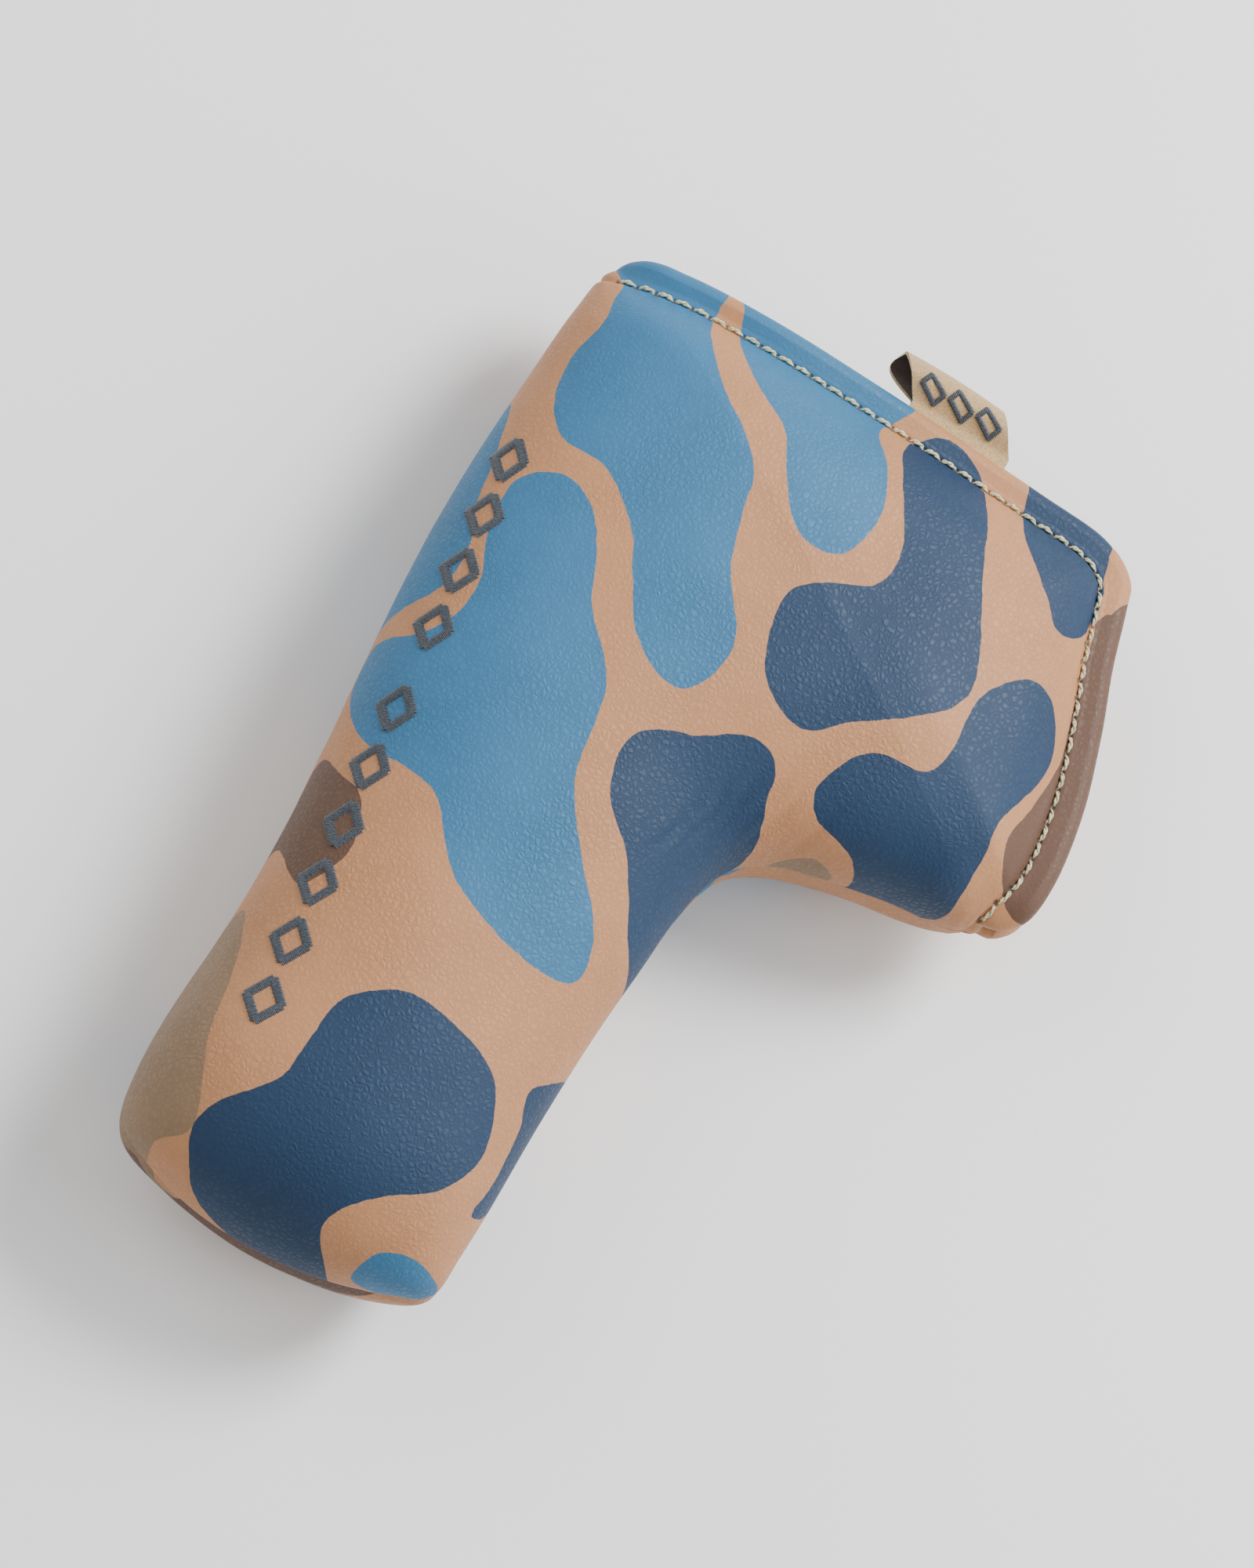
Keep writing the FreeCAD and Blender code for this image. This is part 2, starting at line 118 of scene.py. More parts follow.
CROWN = (1.0, 0.95, 0.86, 0.745, 0.62, 0.495, 0.375, 0.26)
MOUTH_BOW = (0.0, 2.6, 4.0, 3.0, 1.4, 0.6, 0.2, 0.0)
END_BOW = (0.0, 1.6, 2.4, 1.8, 0.9, 0.4, 0.1, 0.0)


# ---------------------------------------------------------------- shape of the cover
def along(values, u):
    """Catmull-Rom value of a list at the places u."""
    v = np.asarray(values, float)
    top = len(v) - 1
    u = np.clip(np.asarray(u, float), 0, top)
    i = np.minimum(u.astype(int), top - 1)
    t = u - i
    a = np.where(i > 0, v[np.maximum(i - 1, 0)], 2 * v[0] - v[1])
    d = np.where(i + 2 <= top, v[np.minimum(i + 2, top)], 2 * v[top] - v[top - 1])
    b = v[i]
    c = v[i + 1]
    square = 2 * a - 5 * b + 4 * c - d
    cube = 3 * b - a - 3 * c + d
    return 0.5 * (2 * b + (c - a) * t + square * t ** 2 + cube * t ** 3)


def smooth(t):
    """Smooth step from 0 to 1."""
    t = np.clip(t, 0, 1)
    return t * t * (3 - 2 * t)


def ends(u):
    """Left and right end of the station lines at u, each (n, 2)."""
    left = np.stack([along(STATIONS[:, 0, k], u) for k in (0, 1)], -1)
    right = np.stack([along(STATIONS[:, 1, k], u) for k in (0, 1)], -1)
    return left, right


def unit(v):
    """Vectors made one long."""
    return v / np.maximum(np.linalg.norm(v, axis=-1, keepdims=True), 1e-9)


def toe_round(u):
    """Share of the full depth, rounding down to nothing at the toe end."""
    left, right = ends(u)
    reach = (left[..., 1] + right[..., 1] - STATIONS[0, 0, 1] - STATIONS[0, 1, 1]) / 2
    t = np.clip(reach / TOE_REACH, 0, 1)
    return (1 - (1 - t) ** FRONT_ROUND) ** (1 / FRONT_ROUND)


crease_left, crease_right = ends(np.array([HINGE_STATION]))
crease_middle = (crease_left[0] + crease_right[0]) / 2
hinge = next(j for j in frame["joints"] if j["name"] == "flap_hinge")
ORIGIN = np.array([crease_middle[0] - hinge["pos_m"][0] / MM, crease_middle[1] - hinge["pos_m"][1] / MM, 0.0])


def to_row(points):
    """Panel millimetres to row-frame metres."""
    return (np.asarray(points) - ORIGIN) * MM


def rows_and_columns():
    """Station numbers of the grid's rows, and places from -1 to 1 across them."""
    fine_toe = np.concatenate([[0, 0.02, 0.06, 0.12, 0.2], np.linspace(0.3, 3, 34)])
    arm = np.linspace(3, 10.2, 130)[1:]
    heel = np.linspace(10.2, 12.2, 60)[1:]
    neck = np.linspace(12.2, LAST, 90)[1:]
    rows = np.concatenate([fine_toe, arm, heel, neck])
    rows[np.argmin(abs(rows - HINGE_STATION))] = HINGE_STATION
    a = np.linspace(0, math.pi, 121)
    columns = -(0.8 * np.cos(a) + 0.2 * np.linspace(1, -1, 121))
    return rows, columns


ROWS, COLUMNS = rows_and_columns()
HINGE_ROW = int(np.argmin(abs(ROWS - HINGE_STATION)))


def mouth_edge():
    """Plan polyline of the mouth edge from heel corner to neck foot."""
    u = np.linspace(HINGE_STATION, LAST, 160)
    left, right = ends(u)
    return np.concatenate([left, right[::-1]])


MOUTH = mouth_edge()


def distance_to_line(points, line):
    """Plan distance of each point from a polyline."""
    best = np.full(points.shape[:-1], 1e9)
    for a, b in zip(line[:-1], line[1:]):
        ab = b - a
        t = np.clip(((points - a) @ ab) / max(ab @ ab, 1e-12), 0, 1)
        gap = points - a - t[..., None] * ab
        best = np.minimum(best, np.sqrt((gap ** 2).sum(-1)))
    return best


def lip_frames():
    """Per side and row, the plan direction out of the mouth."""
    step = 0.02
    corner = unit(np.array([[0.66, 0.75]]))
    turn = smooth((ROWS - 16.8) / 1.2)[:, None] * 0.75
    frames = []
    for side in (0, 1):
        u = np.clip(ROWS, step, LAST - step)
        tangent = unit(ends(u + step)[side] - ends(u - step)[side])
        outward = np.stack([-tangent[:, 1], tangent[:, 0]], -1) * (1, -1)[side]
        mix = smooth((ROWS - HINGE_STATION) / 1.2)[:, None]
        outward = unit(np.array([FOLD_WAYS[side]]) * (1 - mix) + outward * mix)
        frames.append(unit(outward * (1 - turn) + corner * turn))
    return frames


LIP_FRAMES = lip_frames()


def edge_shifts():
    """Per side and row, the plan shift that makes room for the rolled edge."""
    settle = smooth((ROWS - 9.0) / 2.0)[:, None]
    return [-outward * settle * ROLL_R for outward in LIP_FRAMES]


EDGE_SHIFTS = edge_shifts()


def fold_distance(plan):
    """Plan distance from the nearer of the two folded sides, run on straight past the mouth."""
    u = np.linspace(0, HINGE_STATION, 120)
    gaps = []
    for side in (0, 1):
        x = np.full(len(u), (-1.0, 1.0)[side])
        line = ends(u)[side] + edge_shift(u, x)
        line = np.concatenate([line, line[-1:] + 25 * np.array([FOLD_WAYS[side]])])
        gaps.append(distance_to_line(plan, line))
    return np.minimum(*gaps)


def mouth_line():
    """Plan line of the mouth edge, run on straight past both folds."""
    edge = MOUTH[(MOUTH[:, 0] > 9) & ((MOUTH[:, 1] > -62) | (MOUTH[:, 0] < 60))]
    return np.concatenate([[(-14.0, -1.2), (6.0, 1.1)], edge, [(109.6, -66.0), (106.5, -82.0)]])


MOUTH_LINE = mouth_line()


def edge_shift(u, x):
    """Draws the rim in by the radius of its rolled edge."""
    shift = 0
    for side in (0, 1):
        inward = np.stack([np.interp(u, ROWS, EDGE_SHIFTS[side][:, k]) for k in (0, 1)], -1)
        shift = shift + inward * ((1 - x, 1 + x)[side] / 2)[..., None]
    return shift


def outer_surface(u, x, face):
    """Outer face of one panel at stations u and places x across: points, and plan distance from the mouth."""
    left, right = ends(u)
    plan = left * (1 - x[..., None]) / 2 + right * (1 + x[..., None]) / 2
    plan[..., 1] -= np.where(u < 3, along(TOE_BOW, u), 0) * (1 - x ** 2)
    plan += (smooth((u - 17) / 1.0) * (1 - x ** 2))[..., None] * np.array([0.66, 0.75]) * 0.3
    plan += edge_shift(u, x)

    past = np.clip(u - HINGE_STATION, 0, None)
    power = FRONT_ROUND if face > 0 else BACK_ROUND
    crown = (FRONT_DEPTH if face > 0 else BACK_DEPTH) * along(CROWN, past) * toe_round(u)
    rim = smooth((u - HINGE_STATION + 0.1) / 1.3)
    bow = np.where(x < 0, along(MOUTH_BOW, past), along(END_BOW, past)) if face > 0 else 0 * x
    shape = np.clip(1 - abs(x) ** power, 0, 1) ** (1 / power + (0.85 - 1 / power) * smooth(past / 3))
    base = rim * (LIP_GAP + 2 * ROLL_R + bow * abs(x) ** 3)
    body = base + (crown - base) * shape
    mouth = distance_to_line(plan, MOUTH_LINE)
    fold = np.clip(fold_distance(plan) / CURL, 0, 1)
    lip = (LIP_GAP + 2 * ROLL_R + bow * x ** 2) * (1 - (1 - fold) ** 2.2) ** (1 / 2.2)
    t = np.clip((mouth - 4.2) / PUFF, 0, 1)
    height = lip + (body - lip) * (1 - (1 - t) ** 2.2)
    z = np.maximum(MID_Z + face * (0.02 + height), 0.0)
    return np.concatenate([plan, z[..., None]], -1), mouth


def panel_grid(face):
    """Outer face of one panel on the grid of rows and columns."""
    u = ROWS[:, None] + 0 * COLUMNS[None, :]
    x = COLUMNS[None, :] + 0 * ROWS[:, None]
    return outer_surface(u, x, face)


def grid_normals(points, face):
    """Outward unit normals of a panel grid, each the mean over the quads round it."""
    rows, columns = points.shape[:2]
    quads = np.cross(points[:-1, 1:] - points[1:, :-1], points[1:, 1:] - points[:-1, :-1]) * face
    n = np.zeros_like(points)
    for i in (0, 1):
        for j in (0, 1):
            n[i:rows - 1 + i, j:columns - 1 + j] += quads
    n = unit(n)
    n[..., 2] = np.where(n[..., 2] * face < 0, 0, n[..., 2])
    return unit(n)


def charts(front_outer, back_outer):
    """Flat print coordinates of every grid point, front then back, unrolled along the rows.

    The back's chart runs on from the front's over the sole-side fold.
    """
    middle = len(COLUMNS) // 2
    left, right = ends(ROWS)
    way = unit(right - left)[:, None]

    def lengths(points):
        steps = np.linalg.norm(np.diff(points, axis=1), axis=-1)
        return np.concatenate([np.zeros((len(ROWS), 1)), np.cumsum(steps, 1)], 1)

    spine = front_outer[:, middle]
    steps = np.linalg.norm(np.diff(spine, axis=0), axis=-1)
    plain = np.linalg.norm(np.diff(spine[:, :2], axis=0), axis=-1)
    excess = np.cumsum((steps - plain)[::-1])[::-1]
    stretch = np.where(ROWS < 6, np.append(excess, 0) - excess[np.argmax(ROWS >= 6)], 0)
    start = spine[:, :2] - np.stack([0 * stretch, stretch], -1)
    front_run = lengths(front_outer)
    front_chart = start[:, None] + way * (front_run - front_run[:, middle:middle + 1])[..., None]
    back_run = lengths(back_outer)
    back_chart = front_chart[:, :1] - way * back_run[..., None]
    return front_chart, back_chart


# ---------------------------------------------------------------- camouflage print
# Outlines on the flat chart of the leather, in millimetres. The chart runs over the sole-side fold
# onto the back at x = -12 or so.
PRINT = {
    "light": (
        ((-6, 5), (0, -3), (1, -8), (2, -14), (0, -21), (1, -29), (6, -36), (15, -38), (23, -45), (27, -52),
         (32, -60), (38, -64), (43, -64), (46, -59), (46, -52), (40, -43), (37, -32), (36, -27), (31, -21),
         (25, -16), (20, -9), (17, -2), (16, 6), (5, 14)),
        ((20, 9), (22, -2), (25, -7), (30, -12), (37, -17), (40, -23), (43, -28), (47, -32), (53, -32),
         (56, -28), (57, -20), (54, -12), (50, -5), (53, 6), (37, 12)),
        ((4, -44), (10, -42), (16, -45), (20, -51), (24, -60), (32, -70), (35, -86), (43, -97), (48, -102),
         (52, -108), (52, -113), (46, -115), (37, -114), (27, -110), (22, -105), (17, -99), (10, -97),
         (3, -96), (-4, -92), (-12, -83), (-10, -78), (0, -76), (5, -71), (6, -64), (3, -56), (2, -48)),
        ((-10, -28), (-4, -40), (-2, -51), (1, -58), (1, -65), (-3, -70), (-15, -75), (-26, -74), (-30, -54),
         (-24, -34)),
        ((44, -176), (44, -171), (46, -167), (51, -165), (57, -166), (62, -168), (61, -173), (56, -177),
         (49, -178)),
        ((-44, -112), (-37, -100), (-30, -102), (-28, -114), (-34, -124), (-32, -136), (-42, -140),
         (-50, -128)),
    ),
    "dark": (
        ((55, -6), (57, -1), (61, 1), (65, 0), (69, -3), (73, -11), (76, -20), (83, -36), (82, -43),
         (78, -47.5), (73, -51.5), (68, -55), (64, -59), (59, -59), (53, -55), (50, -47), (50, -41),
         (54, -37), (61, -33), (63, -28), (62, -22), (58, -14)),
        ((76, 5), (78, -6), (82, -12), (88, -18), (91, -21), (95, -20), (97, -17), (97, -12), (95, -7),
         (94, 0), (96, 8), (84, 10)),
        ((70, -67), (70, -64), (72, -59), (76, -56), (83, -55), (85, -50), (85, -40), (88, -34), (92, -31),
         (97, -32), (101, -37), (102, -44), (98, -55), (99, -62), (101, -69), (103, -75), (103, -82),
         (93, -83), (90, -78), (84, -73), (79, -71), (73, -70)),
        ((41, -85), (39, -79), (40, -74), (44, -71), (49, -69), (55, -65), (60, -65), (63, -68), (65, -73),
         (73, -83), (77, -88), (75, -105), (71, -110), (58, -103), (53, -97), (48, -91), (44, -88)),
        ((12, -158), (18, -151), (19, -144), (20, -136), (25, -131), (30, -129), (39, -130), (47, -133),
         (51, -138), (53, -145), (49, -153), (41, -159), (36, -165), (36, -170), (40, -177), (42, -187),
         (36, -188), (26, -183), (17, -177), (13, -171), (10, -164)),
        ((56, -130), (56, -134), (58, -137), (59, -146), (58, -153), (68, -147), (74, -131), (67, -125)),
        ((-20, -146), (-28, -142), (-40, -148), (-50, -146), (-58, -156), (-52, -168), (-38, -166),
         (-24, -160)),
    ),
    "brown": (
        ((98, -13), (102, -7), (112, -9), (120, -30), (122, -50), (122, -68), (112, -68), (107, -65),
         (103, -61), (101, -56), (103, -48), (104, -38), (102, -29), (99, -18)),
        ((-8, -99), (1, -102), (6, -104), (9, -110), (9, -115), (6, -120), (3, -121), (-5, -116),
         (-14, -116), (-17, -104)),
        ((2, -178), (-8, -172), (-22, -173), (-30, -180), (-28, -196), (-6, -198), (4, -190)),
    ),
    "olive": (
        ((79, -82), (76, -79), (77, -76), (79, -75), (84, -76), (88, -80), (88, -85), (82, -88)),
        ((-7, -127), (-1, -132), (2, -140), (4, -149), (8, -158), (10, -165), (6, -170), (6, -176), (4, -183),
         (-9, -173), (-18, -157), (-18, -137)),
        ((-62, -92), (-54, -96), (-52, -106), (-60, -112), (-68, -104)),
    ),
}
REPEAT = (-102, 18)        # the print comes round again on the back
BACK_FROM = -20            # chart x past which the repeat is used


def smooth_outline(points):
    """Closed Catmull-Rom outline through the points, six places to a span."""
    p = np.array(points, float)
    t = np.arange(6)[:, None] / 6
    spans = []
    for i in range(len(p)):
        a, b, c, d = p[i - 1], p[i], p[(i + 1) % len(p)], p[(i + 2) % len(p)]
        spans.append(0.5 * (2 * b + (c - a) * t + (2 * a - 5 * b + 4 * c - d) * t ** 2
                            + (3 * b - a - 3 * c + d) * t ** 3))
    return np.concatenate(spans)


def depth_inside(chart, line):
    """Signed distance inside a closed outline, in millimetres, never under -4."""
    depth = np.full(len(chart), -4.0)
    near = np.where(np.all((chart > line.min(0) - 4) & (chart < line.max(0) + 4), -1))[0]
    q = chart[near]
    best = np.full(len(q), 16.0)
    inside = np.zeros(len(q), bool)
    for a, b in zip(line, np.roll(line, -1, 0)):
        ab = b - a
        t = np.clip(((q - a) @ ab) / (ab @ ab + 1e-12), 0, 1)
        gap = q - a - t[:, None] * ab
        best = np.minimum(best, (gap ** 2).sum(-1))
        crosses = (a[1] > q[:, 1]) != (b[1] > q[:, 1])
        if a[1] != b[1]:
            inside ^= crosses & (q[:, 0] < a[0] + (q[:, 1] - a[1]) * ab[0] / ab[1])
    depth[near] = np.sqrt(best) * np.where(inside, 1, -1)
    return depth


def print_depths(chart):
    """For each colour, how deep inside one of its patches each chart point lies."""
    depths = {}
    for colour, patches in PRINT.items():
        depth = np.full(len(chart), -4.0)
        for patch in patches:
            line = smooth_outline(patch)
            depth = np.maximum(depth, depth_inside(chart, line))
            again = depth_inside(chart, line + REPEAT)
            limit = BACK_FROM - chart[:, 0]
            depth = np.maximum(depth, np.minimum(again, limit))
        depths[colour] = depth
    return depths


# ---------------------------------------------------------------- meshes
def make_mesh(name, points, faces, materials, body=None, slots=None):
    """Smooth-shaded mesh from panel millimetres."""
    mesh = bpy.data.meshes.new(name)
    mesh.from_pydata(to_row(points).tolist(), [], faces)
    for material in materials:
        mesh.materials.append(material)
    mesh.polygons.foreach_set("use_smooth", [True] * len(mesh.polygons))
    if slots is not None:
        mesh.polygons.foreach_set("material_index", slots)
    mesh.set_sharp_from_angle(angle=math.radians(60))
    piece = bpy.data.objects.new(name, mesh)
    bpy.context.scene.collection.objects.link(piece)
    if body:
        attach(piece, body)
    return piece


def paint(piece, **values):
    """Per-vertex numbers, or vectors, that the material reads."""
    for name, data in values.items():
        data = np.asarray(data, np.float32)
        kind = "FLOAT_VECTOR" if data.ndim == 2 else "FLOAT"
        attribute = piece.data.attributes.new(name, kind, "POINT")
        attribute.data.foreach_set("vector" if data.ndim == 2 else "value", data.ravel())


def grid_faces(rows, columns, first, turn):
    """Quads of a grid of points that starts at index first."""
    faces = []
    for i in range(rows - 1):
        for j in range(columns - 1):
            a = first + i * columns + j
            quad = (a, a + 1, a + columns + 1, a + columns)
            faces.append(quad if turn else quad[::-1])
    return faces


def keep_side(points, face):
    """Stop a panel's inner points at its own side of the mid-plane."""
    points[..., 2] = MID_Z + face * np.maximum((points[..., 2] - MID_Z) * face, 0.02)
    return points


ROLL_STEPS = 10


def rim_loop():
    """Grid places along the mouth edge, from the left fold round to the right fold."""
    rows, columns = len(ROWS), len(COLUMNS)
    loop = [(i, 0) for i in range(HINGE_ROW, rows)]
    loop += [(rows - 1, j) for j in range(1, columns - 1)]
    return loop + [(i, columns - 1) for i in range(rows - 1, HINGE_ROW - 1, -1)]


def seam_groove(points, face):
    """Draw the panel in at the meeting plane where it is sewn: the toe end and the inner edge."""
    left, right = ends(ROWS)
    way = unit(right - left)[:, None]
    height = (points[..., 2] - MID_Z) * face
    near = 1.1 * np.exp(-(height / 1.5) ** 2)
    inner_edge = smooth((COLUMNS - 0.3) / 0.5)[None, :] * (1 - smooth((ROWS - 9.5) / 1.2))[:, None]
    toe = (1 - smooth(ROWS / 2.0))[:, None] + 0 * COLUMNS[None, :]
    points[..., :2] -= way * (near * inner_edge * (1 - toe))[..., None]
    points[..., 1] += near * toe
    return points


WRINKLES = (       # plan line from and to, depth, half width
    ((66, -61), (61, -75), 0.30, 0.9), ((69, -65), (64, -78), 0.30, 0.8), ((61, -66), (57, -82), 0.25, 1.0),
    ((54, -76), (51, -90), 0.25, 1.0), ((75, -66), (70, -76), 0.22, 0.9), ((57, -72), (55, -86), 0.25, 0.8),
)


def relief(points, normals, mouth, face):
    """Soft bulges of the padding, and the fine creases at the inner corner."""
    x, y = points[..., 0], points[..., 1]
    waves = (np.sin(x / 9.1 + y / 17.0) * np.sin(y / 11.3 - x / 23.0 + face)
             + 0.6 * np.sin(x / 4.7 - y / 8.9 + 2 * face) * np.sin(y / 6.1 + x / 12.0))
    calm = smooth((mouth - 6) / 10) * smooth((points[..., 2] - MID_Z) * face / 6)
    lift = 0.28 * waves * calm
    for start, stop, depth, half in WRINKLES if face > 0 else ():
        line = np.array([start, stop], float)
        bend = np.array([line[0], line.mean(0) + (0.8, 0.3), line[1]])
        gap = distance_to_line(points[..., :2], bend)
        middle = np.linalg.norm(points[..., :2] - line.mean(0), axis=-1)
        fade = 1 - smooth(middle / (0.62 * np.linalg.norm(line[1] - line[0])))
        lift += fade * depth * (0.7 * np.exp(-((gap - half * 1.6) / half) ** 2) - np.exp(-(gap / half) ** 2))
    pucker = 0.12 * np.cos(2 * math.pi * x / STITCH_PITCH) * np.exp(-((mouth - HEM - 1.6) / 1.0) ** 2)
    return points + normals * (lift + pucker)[..., None]


def topstitch_line():
    """Plan places along the topstitch, evenly spaced, and their run in millimetres."""
    line = MOUTH_LINE
    length = np.append(0, np.cumsum(np.linalg.norm(np.diff(line, axis=0), axis=-1)))
    at = np.arange(0, length[-1], 0.5)
    line = np.stack([np.interp(at, length, line[:, k]) for k in (0, 1)], -1)
    way = unit(np.gradient(line, axis=0))
    inside = line + np.stack([way[:, 1], -way[:, 0]], -1) * HEM
    keep = distance_to_line(inside, MOUTH_LINE) > HEM * 0.985
    inside = inside[keep]
    for _ in range(12):
        inside[1:-1] = (inside[:-2] + 2 * inside[1:-1] + inside[2:]) / 4
    keep = fold_distance(inside) > 0
    run = np.append(0, np.cumsum(np.linalg.norm(np.diff(inside, axis=0), axis=-1)))
    return inside[keep], run[keep]


def run_along(plan, line, run):
    """Run of the nearest place on a line, for each plan point."""
    best = np.full(plan.shape[:-1], 1e9)
    where = np.zeros(plan.shape[:-1])
    for a, b, ra, rb in zip(line[:-1], line[1:], run[:-1], run[1:]):
        ab = b - a
        t = np.clip(((plan - a) @ ab) / (ab @ ab), 0, 1)
        gap = ((plan - a - t[..., None] * ab) ** 2).sum(-1)
        closer = gap < best
        best = np.where(closer, gap, best)
        where = np.where(closer, ra + t * (rb - ra), where)
    return where


def panel_solid(face):
    """Closed padded panel: outer face, rolled hem, inner face."""
    outer, mouth = panel_grid(face)
    outer = seam_groove(outer, face)
    normals = grid_normals(outer, face)
    outer = relief(outer, normals, mouth, face)
    groove = 0.75 * np.exp(-((mouth - HEM) / 0.62) ** 2)
    outer = keep_side(outer - normals * groove[..., None], face)
    outer[..., 2] = np.maximum(outer[..., 2], 0)
    rows, columns = outer.shape[:2]

    loop = rim_loop()
    path = np.array([outer[place] for place in loop])
    tangent = unit(np.gradient(path, axis=0))
    tangent[0] = (0, 0, face)
    tangent[-1] = (0, 0, -face)
    outward = []
    for i, j in loop:
        share = (COLUMNS[j] + 1) / 2
        flat_way = LIP_FRAMES[0][i] * (1 - share) + LIP_FRAMES[1][i] * share
        outward.append((flat_way[0], flat_way[1], 0))
    outward = unit(np.array(outward))
    outward = unit(outward - tangent * (outward * tangent).sum(-1, keepdims=True))
    over = unit(np.cross(tangent, outward)) * face
    angles = np.linspace(0, math.pi, ROLL_STEPS + 1)[1:]
    core = path - over * ROLL_R
    roll = np.stack([core + over * ROLL_R * math.cos(a) + outward * ROLL_R * math.sin(a) for a in angles], 1)
    roll = keep_side(roll, face)

    thick = 2 * ROLL_R + (LEATHER_AND_FOAM - 2 * ROLL_R) * smooth((mouth - 3.0) / 9.0)
    inner = keep_side(outer - normals * thick[..., None], face)
    for k, place in enumerate(loop):
        inner[place] = roll[k, -1]

    points = np.concatenate([outer.reshape(-1, 3), inner.reshape(-1, 3), roll[:, :-1].reshape(-1, 3)])
    count = rows * columns
    faces = grid_faces(rows, columns, 0, face > 0)
    faces += grid_faces(rows, columns, count, face < 0)

    def o(i, j):
        return i * columns + j

    def n(i, j):
        return count + i * columns + j

    def add(quad):
        faces.append(quad if face > 0 else quad[::-1])

    for i in range(HINGE_ROW):
        add((o(i, 0), o(i + 1, 0), n(i + 1, 0), n(i, 0)))
        add((o(i + 1, columns - 1), o(i, columns - 1), n(i, columns - 1), n(i + 1, columns - 1)))
    for j in range(columns - 1):
        add((o(0, j + 1), o(0, j), n(0, j), n(0, j + 1)))
    steps = ROLL_STEPS - 1

    def ring(k):
        i, j = loop[k]
        return [o(i, j)] + [2 * count + k * steps + s for s in range(steps)] + [n(i, j)]

    for k in range(len(loop) - 1):
        a = ring(k)
        b = ring(k + 1)
        for s in range(len(a) - 1):
            add((a[s], b[s], b[s + 1], a[s + 1]))
    add(tuple(ring(0)))
    add(tuple(reversed(ring(len(loop) - 1))))
    return {"points": points, "faces": faces, "outer": outer, "mouth": mouth, "normals": normals,
            "loop": loop, "outward": outward, "angles": angles[:-1]}


def spread(panel, values, edge):
    """Values for all points of a panel, from its outer grid and from its rolled edge."""
    flat = values.reshape(len(values) * values.shape[1], -1)
    return np.concatenate([flat, flat, edge.reshape(-1, flat.shape[1])]).squeeze()


def dress_panel(piece, panel, chart):
    """Write the print, the grain and the seam run on a panel's points."""
    arc = panel["angles"][None, :, None] * ROLL_R
    rim_chart = np.array([chart[place] for place in panel["loop"]])
    rim_run = rim_chart[:, None] + panel["outward"][:, None, :2] * arc
    full_chart = spread(panel, chart, rim_run)
    line, run = topstitch_line()
    seam = run_along(panel["outer"][..., :2], line, run)
    rim_seam = np.array([seam[place] for place in panel["loop"]])[:, None] + 0 * arc[..., 0]
    full_mouth = spread(panel, panel["mouth"], -arc[..., 0] + 0 * rim_seam)
    grain = 0.35 + 0.65 * smooth((full_mouth - 5) / 8)
    paint(piece, rest=to_row(panel["points"]), grain=grain, mouth=full_mouth,
          seam=spread(panel, seam, rim_seam), **print_depths(full_chart))


# ---------------------------------------------------------------- materials
def srgb(r, g, b):
    """Linear colour of an 8-bit one."""
    parts = [c / 255 for c in (r, g, b)]
    return tuple(c / 12.92 if c <= 10 / 255 else ((c + 0.055) / 1.055) ** 2.4 for c in parts) + (1,)


